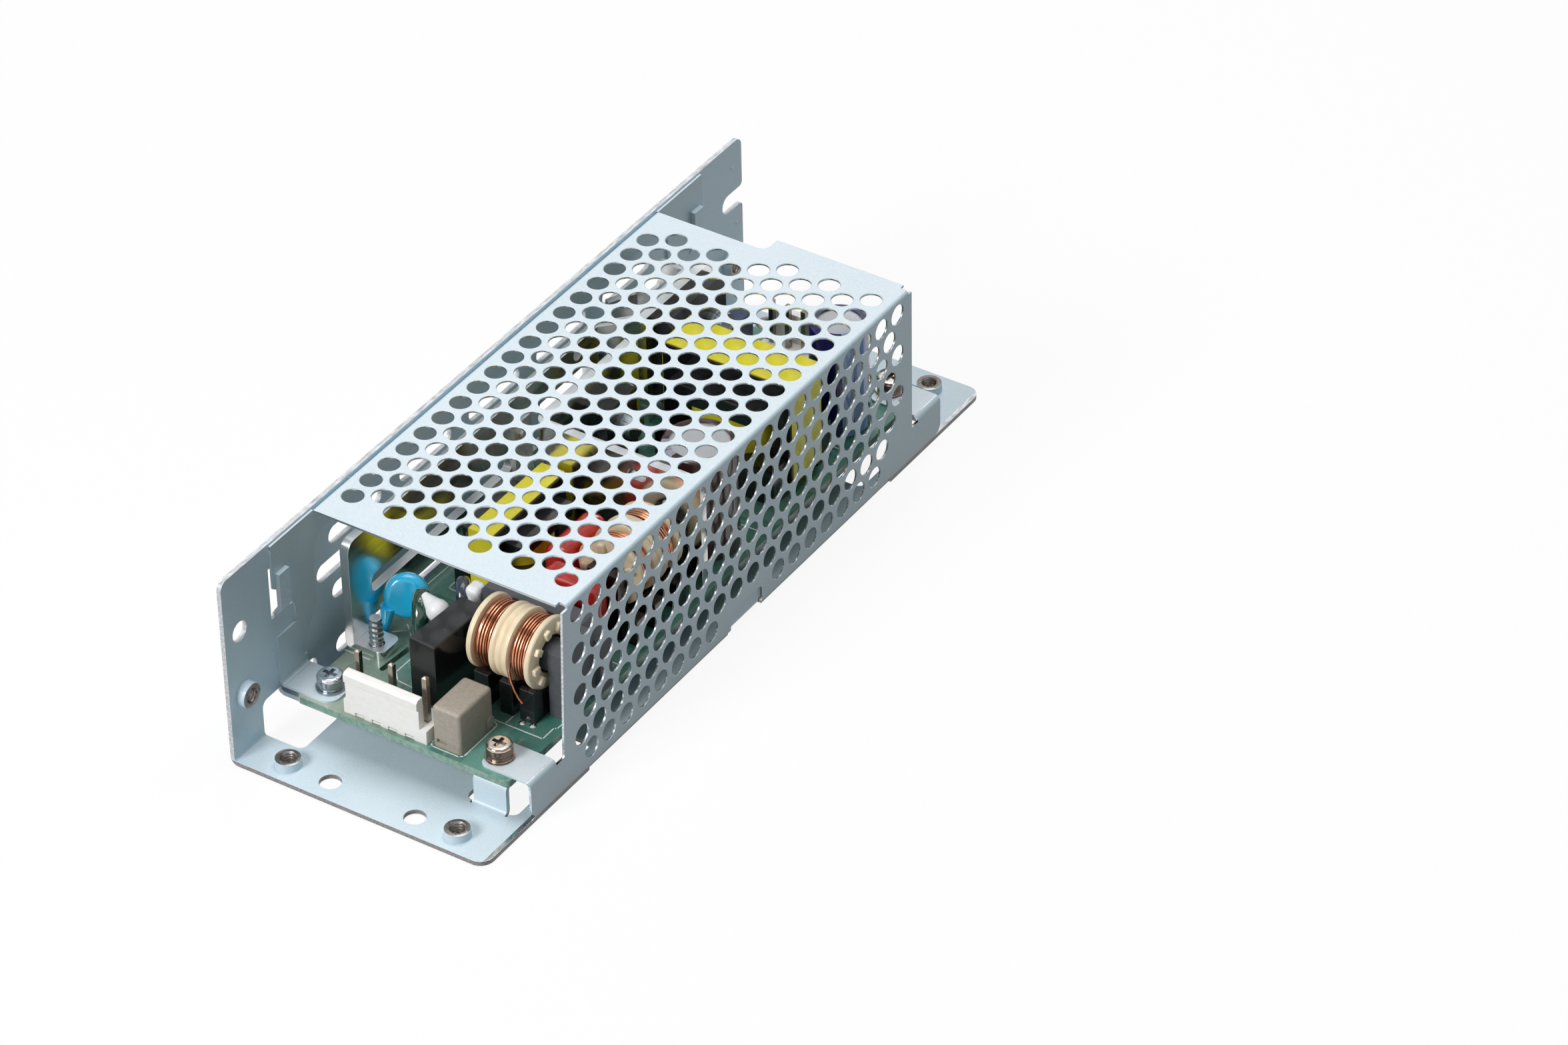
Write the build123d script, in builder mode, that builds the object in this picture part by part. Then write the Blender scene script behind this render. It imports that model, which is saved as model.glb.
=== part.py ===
from build123d import *
import os

# Enclosed switching power supply: a folded sheet steel chassis, a perforated cover and a populated
# circuit board. Millimetres, +Z up, rear of the unit along +Y, origin at the middle of the base's
# underside. The side wall stands on the left, at low x.

# Enclosure
case_width = 60.0
case_length = 180.0
case_height = 44.0
sheet = 1.0  # of the chassis
cover_sheet = 0.5
bend = 0.8  # inside radius of every fold
base_corner = 3.0
wall_corner = 2.0
mid_y = -0.3  # lugs, tabs and mounting holes are alike on both sides of this line

# Circuit board
board_margin = (10.0, 30.0)  # the case is this much wider and longer than the board
board_thick = 1.6
board_inset = (5.7, 14.5)  # from the chassis' left face and front edge
screw_inset = 5.0  # from the board's edges to its screws, nearly
screw_mid_x = 0.15
screw_size = 3.0
screw_hole = 3.5
play = 0.05  # clearance round a shank or a core in its bore
layout_room = (50.0, 150.0, 33.1)  # board and headroom for which the components are drawn

# Worked out from the values above
left = -case_width / 2
right = case_width / 2
front = -case_length / 2
back = case_length / 2
wall_face = left + sheet
leg_face = wall_face + cover_sheet
side_face = right - cover_sheet
outer_bend = bend + sheet
board_width = case_width - board_margin[0]
board_length = case_length - board_margin[1]
board_left = left + board_inset[0]
board_front = front + board_inset[1]
screw_left = screw_mid_x - board_width / 2 + screw_inset
screw_right = screw_mid_x + board_width / 2 - screw_inset
screw_reach = board_length / 2 - screw_inset  # from mid_y to the board screws
ends = (-1, 1)

# Mounting holes of the chassis
mount_pitch_y = case_length - 10.0
mount_mid_x = 0.4
tapped_pitch_x = case_width - 20.0
plain_pitch_x = case_width - 40.0
plain_hole = 4.5
collar_bore = 3.5
collar_outside = 5.4
collar_rise = 1.8
wall_hole_z = case_height - 14.2
wall_collar_z = 14.8
slot_width = 4.4

# Openings and lugs of the chassis; y values are distances from mid_y
lug_top = 7.8
side_window = (screw_right - 5.15, screw_right + 6.55)
side_window_y = (screw_reach - 21.3, screw_reach + 4.9)
side_lug = (screw_right - 3.05, screw_right + 4.65)
side_lug_reach = 10.0
wall_window_y = (screw_reach - 7.7, screw_reach + 10.0)
wall_window_x = screw_left - 0.15
wall_window_top = 8.9
wall_lug_y = (screw_reach - 4.3, screw_reach + 3.9)
wall_lug_end = screw_left + 3.15
recess_half = screw_reach - 15.4
window_corner = 1.6
vent_height = 4.0
vent_gap = 6.0
vent_count = 5
vent_rows = (  # height, half of the row's span
    (case_height - 10.7, screw_reach - 14.0),
    (case_height - 17.4, screw_reach - 9.5),
    (case_height - 24.1, screw_reach - 14.0),
    (6.5, screw_reach - 14.0),
)
tongue_y = (screw_reach + 0.4, screw_reach + 3.7)
tongue_root = case_height - 18.0
tongue_top = case_height - 7.5
lance_y = (screw_reach - 1.4, screw_reach + 5.2)
lance_top = case_height - 5.8
lip_y = (-4.5, 5.5)
lip_top = 6.0

# Cover
cover_top = case_height - 0.5  # below the wall's top edge
cover_front = mid_y - screw_reach + 9.3
cover_back_left = mid_y + screw_reach - 11.5
cover_back_right = mid_y + screw_reach - 7.1
cover_step_x = -2.2
flange_drop = 5.7
ridge_bend = 0.4  # inside radius of the folds along the cover's top
ridge_reach = 0.95  # from the cover's outer faces to where those folds end
ridge_notch = 1.2  # the right fold ends this far before the top's front and rear edges
side_lean = (screw_reach - 8.8, screw_reach - 7.4)  # the side's front edge leans out to the foot
notch_y = (-5.1, 6.2)
notch_top = 5.1
foot_y = (screw_reach - 4.7, screw_reach + 3.9)
tab_top = lug_top + board_thick + cover_sheet
side_tab_end = screw_right - 2.15
leg_tab_end = screw_left + 3.45
leg_tab_y = (screw_reach - 4.4, screw_reach + 4.3)

# Perforation
hole_size = 4.9  # across the corners of its sides, which stand for a round hole of 4.6
hole_sides = 7
hole_pitch_across = 5.0
hole_pitch_along = 3.0
top_first_hole = (4.3, 7.8)  # from the cover's left face and front edge
side_first_hole = (4.8, 3.5)  # from the side's front edge and from the top face
end_margin = 6.0

# The components are drawn on a board of their own size and shrink together where there is less room
board_top = lug_top + board_thick
headroom = cover_top - cover_sheet - board_top
unit = min(board_width / layout_room[0], board_length / layout_room[1], headroom / layout_room[2], 1.0)


def along(end, distance):
    """The y value at a distance from mid_y, towards the front (-1) or the back (1)."""
    return mid_y + end * distance


def block(xs, ys, zs, mode=Mode.ADD):
    """A rectangular block between two x, two y and two z values, in any order."""
    middle = [(a + b) / 2 for a, b in (xs, ys, zs)]
    size = [abs(b - a) for a, b in (xs, ys, zs)]
    with Locations(tuple(middle)):
        Box(*size, mode=mode)


def folded(points, outside, inside, inner_bend=bend, thick=sheet):
    """A closed outline of folded sheet, with the outer and inner corners of its folds rounded."""
    with BuildSketch() as outline:
        with BuildLine():
            Polyline(*points, close=True)
        make_face()
        for spot in outside:
            fillet(outline.vertices().sort_by_distance(spot)[0], inner_bend + thick)
        for spot in inside:
            fillet(outline.vertices().sort_by_distance(spot)[0], inner_bend)
    return outline.sketch_local


def write(part, label):
    """Name a finished piece and write it to its own file."""
    part.label = label
    export_step(part, f"parts/{label}.step")


def write_on_board(part, label):
    """Move a component from the board's own frame, front left corner of its top face, to its place."""
    write(Pos(board_left, board_front, board_top) * scale(part, by=unit), label)


os.makedirs("parts", exist_ok=True)

board_screws = [
    (x, along(end, screw_reach))
    for x in (screw_left, screw_right)
    for end in ends
]
tapped_holes = [
    (mount_mid_x + side * tapped_pitch_x / 2, along(end, mount_pitch_y / 2))
    for side in ends
    for end in ends
]
plain_holes = [
    (mount_mid_x + side * plain_pitch_x / 2, along(end, mount_pitch_y / 2))
    for side in ends
    for end in ends
]
wall_mount_y = [along(end, mount_pitch_y / 2) for end in ends]

# Chassis: base and wall are one sheet, folded along the left edge
with BuildPart() as chassis:
    with BuildSketch(Plane.XZ):
        add(folded(
            [
                (left, case_height),
                (left, 0),
                (right, 0),
                (right, sheet),
                (wall_face, sheet),
                (wall_face, case_height),
            ],
            outside=[(left, 0)],
            inside=[(wall_face, sheet)],
        ))
    extrude(amount=case_length / 2, both=True)
    fillet(chassis.edges().filter_by(Axis.Z).group_by(Axis.X)[-1], base_corner)
    fillet(chassis.edges().filter_by(Axis.X).group_by(Axis.Z)[-1], wall_corner)

    # The base's right edge steps in by the cover's sheet, where the cover's side hangs beside it
    block((side_face, right + sheet), (along(-1, recess_half), along(1, recess_half)), (-sheet, 2 * sheet),
          mode=Mode.SUBTRACT)

    for end in ends:
        # Window beside the right edge, and the lug folded up and over from its outer edge
        window_mid = along(end, sum(side_window_y) / 2)
        window_size = (side_window[1] - side_window[0], side_window_y[1] - side_window_y[0])
        with BuildSketch(Plane.XY):
            with Locations((sum(side_window) / 2, window_mid)):
                RectangleRounded(*window_size, window_corner)
        extrude(amount=sheet, mode=Mode.SUBTRACT)
        lug_face = side_window_y[1]
        block((side_lug[0] - sheet / 2, side_lug[1] + sheet / 2),
              (along(end, lug_face + outer_bend - sheet), along(end, lug_face - 2 * sheet)), (0, sheet),
              mode=Mode.SUBTRACT)
        with BuildSketch(Plane.YZ.offset(side_lug[0])):
            add(folded(
                [
                    (along(end, lug_face + 2 * outer_bend), 0),
                    (along(end, lug_face + 2 * outer_bend), sheet),
                    (along(end, lug_face), sheet),
                    (along(end, lug_face), lug_top),
                    (along(end, lug_face - side_lug_reach), lug_top),
                    (along(end, lug_face - side_lug_reach), lug_top - sheet),
                    (along(end, lug_face - sheet), lug_top - sheet),
                    (along(end, lug_face - sheet), 0),
                ],
                outside=[(along(end, lug_face), lug_top), (along(end, lug_face - sheet), 0)],
                inside=[(along(end, lug_face), sheet), (along(end, lug_face - sheet), lug_top - sheet)],
            ))
        extrude(amount=side_lug[1] - side_lug[0])

        # Window across the fold of the wall, and the lug folded inwards from its upper edge
        window_mid = along(end, sum(wall_window_y) / 2)
        window_long = wall_window_y[1] - wall_window_y[0]
        with BuildSketch(Plane.XY):
            with Locations((left, window_mid)):
                RectangleRounded(2 * (wall_window_x - left), window_long, window_corner)
        extrude(amount=outer_bend, mode=Mode.SUBTRACT)
        with BuildSketch(Plane.YZ.offset(left)):
            with Locations((window_mid, 0)):
                RectangleRounded(window_long, 2 * wall_window_top, window_corner)
        extrude(amount=sheet, mode=Mode.SUBTRACT)
        with BuildSketch(Plane.XZ.offset(-along(end, wall_lug_y[1]))):
            add(folded(
                [
                    (left, wall_window_top + sheet),
                    (wall_face, wall_window_top + sheet),
                    (wall_face, lug_top),
                    (wall_lug_end, lug_top),
                    (wall_lug_end, lug_top - sheet),
                    (left, lug_top - sheet),
                ],
                outside=[(left, lug_top - sheet)],
                inside=[(wall_face, lug_top)],
            ))
        extrude(amount=end * (wall_lug_y[1] - wall_lug_y[0]))

        # Lanced tongue: it steps inwards over the cover's leg and points up
        block((left, wall_face), (along(end, lance_y[0]), along(end, lance_y[1])), (tongue_root, lance_top),
              mode=Mode.SUBTRACT)
        with BuildSketch(Plane.XZ.offset(-along(end, tongue_y[1]))):
            with BuildLine():
                Polyline(
                    (left, tongue_root - 2 * sheet),
                    (wall_face, tongue_root - 2 * sheet),
                    (wall_face, tongue_root),
                    (leg_face + sheet, tongue_root + 2.2 * sheet),
                    (leg_face + sheet, tongue_top),
                    (leg_face, tongue_top),
                    (leg_face, tongue_root + 2.6 * sheet),
                    (left, tongue_root + 0.4 * sheet),
                    close=True,
                )
            make_face()
        extrude(amount=end * (tongue_y[1] - tongue_y[0]))

    # Lip folded up from the right edge; it stands inside the cover's side
    lip_fold = outer_bend + sheet
    with BuildSketch(Plane.XZ.offset(-lip_y[0])):
        add(folded(
            [
                (side_face - lip_fold, 0),
                (side_face, 0),
                (side_face, lip_top),
                (side_face - sheet, lip_top),
                (side_face - sheet, sheet),
                (side_face - lip_fold, sheet),
            ],
            outside=[(side_face, 0)],
            inside=[(side_face - sheet, sheet)],
        ))
    lip = extrude(amount=-(lip_y[1] - lip_y[0]), mode=Mode.PRIVATE)
    block((side_face - outer_bend, side_face), (lip_y[0] - sheet, lip_y[1] + sheet), (0, sheet),
          mode=Mode.SUBTRACT)
    add(lip)

    # Rows of ventilation slots in the wall
    for row_z, row_half in vent_rows:
        vent_long = (2 * row_half - (vent_count - 1) * vent_gap) / vent_count
        with BuildSketch(Plane.YZ.offset(left)):
            with Locations((mid_y, row_z)):
                with GridLocations(vent_long + vent_gap, 1, vent_count, 1):
                    SlotOverall(vent_long, vent_height)
        extrude(amount=sheet, mode=Mode.SUBTRACT)

    # Collars drawn up from the sheet and tapped, and plain holes between them
    with BuildSketch(Plane.XY.offset(sheet)):
        with Locations(*tapped_holes):
            Circle(collar_outside / 2)
    extrude(amount=collar_rise)
    with BuildSketch(Plane.YZ.offset(wall_face)):
        with Locations(*[(y, wall_collar_z) for y in wall_mount_y]):
            Circle(collar_outside / 2)
    extrude(amount=collar_rise)
    with BuildSketch(Plane.XY):
        with Locations(*tapped_holes):
            Circle(collar_bore / 2)
        with Locations(*plain_holes):
            Circle(plain_hole / 2)
    extrude(amount=sheet + collar_rise, mode=Mode.SUBTRACT)
    with BuildSketch(Plane.YZ.offset(left)):
        with Locations(*[(y, wall_collar_z) for y in wall_mount_y]):
            Circle(collar_bore / 2)
        with Locations((wall_mount_y[0], wall_hole_z)):
            Circle(plain_hole / 2)
    extrude(amount=sheet + collar_rise, mode=Mode.SUBTRACT)

    # Open slot in the wall's rear edge
    with BuildSketch(Plane.YZ.offset(left)):
        with Locations((wall_mount_y[1], wall_hole_z)):
            Circle(slot_width / 2)
            Rectangle(2 * (back - wall_mount_y[1]), slot_width, align=(Align.MIN, Align.CENTER))
    extrude(amount=sheet, mode=Mode.SUBTRACT)
    slot_mouth = chassis.edges().filter_by(Axis.X).group_by(Axis.Y)[-1]
    slot_mouth = slot_mouth.filter_by_position(Axis.Z, wall_hole_z - slot_width, wall_hole_z + slot_width)
    fillet(slot_mouth, sheet)

    # Screw holes of the lugs
    with Locations(*[(x, y, lug_top - sheet / 2) for x, y in board_screws]):
        Cylinder(screw_size / 2 + play, 2 * sheet, mode=Mode.SUBTRACT)
write(chassis.part, "chassis")


def top_holes():
    """Centres of the top's holes, every other point of a close lattice."""
    points = []
    x0 = wall_face + top_first_hole[0]
    y0 = cover_front + top_first_hole[1]
    columns = int((right - top_first_hole[0] + 0.3 - x0) // hole_pitch_across) + 1
    rows = int((cover_back_right - end_margin - y0) // hole_pitch_along) + 1
    for row in range(rows):
        for column in range(columns):
            x = x0 + column * hole_pitch_across
            y = y0 + row * hole_pitch_along
            back_edge = cover_back_left if x < cover_step_x else cover_back_right
            if (row + column) % 2 == 0 and y <= back_edge - end_margin:
                points.append((x, y))
    return points


def side_holes():
    """Centres of the side's holes as y and z, left out round the notch and at the rear foot."""
    points = []
    y0 = along(-1, side_lean[0]) + side_first_hole[0]
    z0 = cover_top - side_first_hole[1]
    columns = int((cover_back_right - hole_size - y0) // hole_pitch_along) + 1
    rows = int((z0 - sheet - hole_size / 2) // hole_pitch_across) + 1
    notch_mid = sum(notch_y) / 2
    notch_half = (notch_y[1] - notch_y[0]) / 2
    for row in range(rows):
        for column in range(columns):
            y = y0 + column * hole_pitch_along
            z = z0 - row * hole_pitch_across
            over_notch = z < notch_top + hole_size / 2 and abs(y - notch_mid) < notch_half + hole_size / 2
            at_rear_foot = z < tab_top + sheet and y > cover_back_right - 2 * hole_size
            if (row + column) % 2 == 0 and not over_notch and not at_rear_foot:
                points.append((y, z))
    return points


# Cover: one sheet folded into a flange, a top and a side, with feet, legs and tabs at both ends
flange_bottom = cover_top - flange_drop
side_bottom = sheet
ridge_bottom = cover_top - ridge_reach
with BuildPart() as cover:
    # Left flange and the two legs that lie against the chassis wall, hooked round its tongues
    with BuildSketch(Plane.YZ.offset(wall_face)):
        for end, top_end in ((-1, mid_y - cover_front), (1, cover_back_left - mid_y)):
            outline = [
                (0, ridge_bottom),
                (top_end, ridge_bottom),
                (top_end, cover_top),
                (leg_tab_y[1] + 0.3, cover_top),
                (leg_tab_y[1] + 0.3, cover_top - 10.2),
                (tongue_y[1] - 0.7, cover_top - 11.3),
                (tongue_y[0] - 0.6, cover_top - 15.6),
                (tongue_y[0] - 2.2, cover_top - 18.3),
                (tongue_y[0] - 2.3, cover_top - 22.2),
                (leg_tab_y[1], cover_top - 22.2),
                (leg_tab_y[1], tab_top + sheet),
                (leg_tab_y[0] + sheet, tab_top + sheet),
                (leg_tab_y[0] + 0.5, tab_top + 4.8),
                (leg_tab_y[0] - 3.9, tab_top + 12.1),
                (leg_tab_y[0] - 3.9, flange_bottom - 3.1),
                (leg_tab_y[0] - 6.8, flange_bottom),
                (0, flange_bottom),
            ]
            with BuildLine():
                Polyline(*[(along(end, y), z) for y, z in outline], close=True)
            make_face()
    extrude(amount=cover_sheet)

    for end in ends:
        # Foot and the tab folded inwards from its top
        with BuildSketch(Plane.XZ.offset(-along(end, foot_y[1]))):
            add(folded(
                [
                    (right, side_bottom),
                    (right, tab_top),
                    (side_tab_end, tab_top),
                    (side_tab_end, tab_top - cover_sheet),
                    (side_face, tab_top - cover_sheet),
                    (side_face, side_bottom),
                ],
                outside=[(right, tab_top)],
                inside=[(side_face, tab_top - cover_sheet)],
                thick=cover_sheet,
            ))
        extrude(amount=end * (foot_y[1] - foot_y[0]))

        # Tab folded inwards from the leg's lower end
        with BuildSketch(Plane.XZ.offset(-along(end, leg_tab_y[1]))):
            add(folded(
                [
                    (wall_face, tab_top + 2 * sheet),
                    (leg_face, tab_top + 2 * sheet),
                    (leg_face, tab_top),
                    (leg_tab_end, tab_top),
                    (leg_tab_end, tab_top - cover_sheet),
                    (wall_face, tab_top - cover_sheet),
                ],
                outside=[(wall_face, tab_top - cover_sheet)],
                inside=[(leg_face, tab_top)],
                thick=cover_sheet,
            ))
        extrude(amount=end * (leg_tab_y[1] - leg_tab_y[0]))

    # Rounded free corners of the tabs and the feet
    tab_edges = cover.edges().filter_by(Axis.Z).filter_by_position(Axis.Z, tab_top - cover_sheet, tab_top)
    fillet(tab_edges.filter_by_position(Axis.X, leg_tab_end - play, leg_tab_end + play), 2.6 * sheet)
    tab_edges = cover.edges().filter_by(Axis.Z).filter_by_position(Axis.Z, tab_top - cover_sheet, tab_top)
    fillet(tab_edges.filter_by_position(Axis.X, side_tab_end - play, side_tab_end + play), 1.5 * sheet)
    toes = cover.edges().filter_by(Axis.X).group_by(Axis.Z)[0].sort_by(Axis.Y)
    fillet(ShapeList([toes[0], toes[-1]]), 2.3 * sheet)

    # Screw holes of the tabs
    with Locations(*[(x, y, tab_top - cover_sheet / 2) for x, y in board_screws]):
        Cylinder(screw_hole / 2, 2 * cover_sheet, mode=Mode.SUBTRACT)

    # Folds between the flange and the top, and between the top and the side
    with BuildSketch(Plane.XZ.offset(-cover_front)):
        add(folded(
            [
                (wall_face, ridge_bottom - sheet),
                (wall_face, cover_top),
                (leg_face + sheet, cover_top),
                (leg_face + sheet, cover_top - cover_sheet),
                (leg_face, cover_top - cover_sheet),
                (leg_face, ridge_bottom - sheet),
            ],
            outside=[(wall_face, cover_top)],
            inside=[(leg_face, cover_top - cover_sheet)],
            inner_bend=ridge_bend,
            thick=cover_sheet,
        ))
    extrude(amount=-(cover_back_left - cover_front))
    with BuildSketch(Plane.XZ.offset(-cover_front - ridge_notch)):
        add(folded(
            [
                (right - ridge_reach, cover_top),
                (right, cover_top),
                (right, ridge_bottom),
                (side_face, ridge_bottom),
                (side_face, cover_top - cover_sheet),
                (right - ridge_reach, cover_top - cover_sheet),
            ],
            outside=[(right, cover_top)],
            inside=[(side_face, cover_top - cover_sheet)],
            inner_bend=ridge_bend,
            thick=cover_sheet,
        ))
    extrude(amount=-(cover_back_right - cover_front - 2 * ridge_notch))

    # Perforated side, with a leaning front edge, shoulders above the feet and a notch over the lip
    foot_shoulder = tab_top - 1.3 * sheet
    foot_inner = foot_y[0] + sheet
    with BuildSketch(Plane.YZ.offset(side_face)):
        with BuildLine():
            Polyline(
                (along(-1, side_lean[0]), ridge_bottom),
                (along(-1, side_lean[1]), foot_shoulder),
                (along(-1, foot_inner), foot_shoulder),
                (along(-1, foot_inner), side_bottom),
                (along(1, foot_inner), side_bottom),
                (along(1, foot_inner), foot_shoulder),
                (cover_back_right, foot_shoulder),
                (cover_back_right, ridge_bottom),
                close=True,
            )
        make_face()
        with Locations((sum(notch_y) / 2, 0)):
            RectangleRounded(notch_y[1] - notch_y[0], 2 * notch_top, sheet, mode=Mode.SUBTRACT)
        with Locations(*side_holes()):
            RegularPolygon(hole_size / 2, hole_sides, mode=Mode.SUBTRACT)
    extrude(amount=cover_sheet)

    # Perforated top; its left part ends earlier at the back
    with BuildSketch(Plane.XY.offset(cover_top - cover_sheet)) as top_sheet:
        with BuildLine():
            Polyline(
                (leg_face + sheet, cover_front),
                (right - 2 * ridge_reach, cover_front),
                (right - 2 * ridge_reach, cover_front + ridge_notch),
                (right - ridge_reach, cover_front + ridge_notch),
                (right - ridge_reach, cover_back_right - ridge_notch),
                (right - 2 * ridge_reach, cover_back_right - ridge_notch),
                (right - 2 * ridge_reach, cover_back_right),
                (cover_step_x, cover_back_right),
                (cover_step_x, cover_back_left),
                (leg_face + sheet, cover_back_left),
                close=True,
            )
        make_face()
        fillet(top_sheet.vertices().sort_by_distance((cover_step_x, cover_back_left))[0], wall_corner)
        with Locations(*top_holes()):
            RegularPolygon(hole_size / 2, hole_sides, mode=Mode.SUBTRACT)
    extrude(amount=cover_sheet)
write(cover.part, "cover")

# Circuit board
input_pin_x = (12.65, 20.57, 28.49)
foot_screw = (5.2, 19.6)
foot_screw_size = 3.0
slot_place = (9.65, 19.6)
slot_size = (9.2, 1.2)
slot_angle = 85
with BuildPart() as circuit_board:
    with BuildSketch(Plane.XY.offset(lug_top)):
        with Locations((board_left + board_width / 2, board_front + board_length / 2)):
            RectangleRounded(board_width, board_length, sheet)
        with Locations(*board_screws):
            Circle(screw_hole / 2, mode=Mode.SUBTRACT)
        with Locations((board_left + unit * slot_place[0], board_front + unit * slot_place[1])):
            SlotOverall(unit * slot_size[0], unit * slot_size[1], rotation=slot_angle, mode=Mode.SUBTRACT)
        with Locations((board_left + unit * foot_screw[0], board_front + unit * foot_screw[1])):
            Circle(unit * (foot_screw_size / 2 + play), mode=Mode.SUBTRACT)
    extrude(amount=board_thick)
write(circuit_board.part, "circuit_board")

# Fasteners of the board: each stack stands on the cover's tab and goes through board and lug
flat_washer = (6.0, 0.5)
spring_washer = (5.2, 0.8)
screw_head = (5.4, 2.2)
screw_tail = 2.0
crown_share = 0.4  # of the head's height; the cross recess is as deep
recess_share = (0.55, 0.16)  # of the head's diameter


def ring(points, z, outer, inner, thick):
    """Flat rings of one size, one at each point."""
    with BuildPart() as rings:
        with BuildSketch(Plane.XY.offset(z)):
            with Locations(*points):
                Circle(outer / 2)
                Circle(inner / 2, mode=Mode.SUBTRACT)
        extrude(amount=thick)
    return rings.part


washer_bore = screw_size + 2 * play
flat_washer_top = tab_top + flat_washer[1]
write(ring(board_screws, tab_top, flat_washer[0], washer_bore, flat_washer[1]), "flat_washers")
write(ring(board_screws, flat_washer_top, spring_washer[0], washer_bore, spring_washer[1]), "spring_washers")
stack_top = flat_washer_top + spring_washer[1]
with BuildPart() as board_fasteners:
    # Pan heads with a cross recess
    with BuildSketch(Plane.XY.offset(stack_top)):
        with Locations(*board_screws):
            Circle(screw_head[0] / 2)
    extrude(amount=screw_head[1])
    fillet(board_fasteners.edges().group_by(Axis.Z)[-1], crown_share * screw_head[1])
    with BuildSketch(Plane.XY.offset(stack_top + screw_head[1])):
        with Locations(*board_screws):
            Rectangle(recess_share[0] * screw_head[0], recess_share[1] * screw_head[0])
            Rectangle(recess_share[1] * screw_head[0], recess_share[0] * screw_head[0])
    extrude(amount=-crown_share * screw_head[1], mode=Mode.SUBTRACT)
    with BuildSketch(Plane.XY.offset(stack_top)):
        with Locations(*board_screws):
            Circle(screw_size / 2)
    extrude(amount=lug_top - sheet - screw_tail - stack_top)
write(board_fasteners.part, "board_screws")

# Connectors: a low base with a lock wall along one long side, and square pins with bevelled tips
header_deep = 6.7
header_base_rise = 3.2
lock_wall = (1.5, 10.2)  # thickness and height
lock_lip = 0.5
lock_margin = (0.6, 1.6)  # the lock wall is this much shorter than the base at its ends
header_notch = (2.1, 0.8)
pin_size = 1.1
pin_rise = 14.0
pin_bevel = 0.35 * pin_size
pin_pitch = 3.96


def header(xs, wall_y, inwards, notches, pins):
    """Header housing; inwards is 1 for a lock wall along the front of the base, -1 for the back."""
    with BuildPart() as housing:
        block(xs, (wall_y, wall_y + inwards * header_deep), (0, header_base_rise))
        with BuildSketch(Plane.YZ.offset(xs[0] + lock_margin[0])):
            thick, top = lock_wall
            outline = [
                (0, 0),
                (0, top - 5.2 * lock_lip),
                (-lock_lip, top - 4.4 * lock_lip),
                (-lock_lip, top - lock_lip),
                (0, top),
                (thick, top),
                (thick, 0),
            ]
            with BuildLine():
                Polyline(*[(wall_y + inwards * y, h) for y, h in outline], close=True)
            make_face()
        extrude(amount=xs[1] - xs[0] - sum(lock_margin))
        for x in notches:
            block((x - header_notch[0] / 2, x + header_notch[0] / 2), (wall_y, wall_y + inwards * thick),
                  (0, header_notch[1]), mode=Mode.SUBTRACT)
        add(pins, mode=Mode.SUBTRACT)
    return housing.part


def header_pins(xs, y):
    """Square pins of a header, one solid each, with bevelled tips."""
    with BuildPart() as pins:
        with BuildSketch(Plane.XY):
            with Locations(*[(x, y) for x in xs]):
                Rectangle(pin_size, pin_size)
        extrude(amount=pin_rise)
        chamfer(pins.edges().group_by(Axis.Z)[-1], pin_bevel)
    return pins.part


input_pins = header_pins(input_pin_x, 4.1)
write_on_board(input_pins, "input_header_pins")
write_on_board(header((10.8, 30.4), 0.9, 1, (14.5, 18.4, 22.3, 26.3), input_pins), "input_header")
output_pin_x = [16.5 + pin_pitch * i for i in range(6)]
output_pins = header_pins(output_pin_x, 144.1)
write_on_board(output_pins, "output_header_pins")
write_on_board(header((14.5, 38.3), 147.3, -1, [x + pin_pitch / 2 for x in output_pin_x[:-1]], output_pins),
               "output_header")

# Box fuse, with rounded top edges and a small catch recess at the foot
fuse_round = 0.8
with BuildPart() as fuse:
    block((31.3, 37.9), (1.7, 12.7), (0, 9.7))
    fillet(fuse.edges().group_by(Axis.Z)[-1] + fuse.edges().filter_by(Axis.Z), fuse_round)
    block((32.3, 34.5), (1.7, 2.2), (1.2, 2.0), mode=Mode.SUBTRACT)
write_on_board(fuse.part, "fuse")

# Film capacitor across the line, a black moulded box that stands a little askew
box_edge = 0.3
x_cap_size = (6.3, 16.0, 14.7)
x_cap_turn = -4.0
with BuildPart() as x_capacitor:
    with BuildSketch(Plane((19.2, 11.8, 0)).rotated((0, 0, x_cap_turn))):
        Rectangle(x_cap_size[0], x_cap_size[1], align=Align.MIN)
    extrude(amount=x_cap_size[2])
    chamfer(x_capacitor.edges().group_by(Axis.Z)[-1], box_edge)
write_on_board(x_capacitor.part, "x_capacitor")

# Small blue box capacitor beside the output header
with BuildPart() as box_capacitor:
    block((9.0, 14.0), (134.8, 140.6), (0, 12.0))
    chamfer(box_capacitor.edges().group_by(Axis.Z)[-1], box_edge)
write_on_board(box_capacitor.part, "box_capacitor")

# Dipped discs, whose coat runs down the leads
dip_round = 0.45  # of the disc's thickness
dip_skirt = 0.5
dip_foot = 0.2
dip_grip = 0.75  # how far out from the centre the coated leads begin


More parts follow.
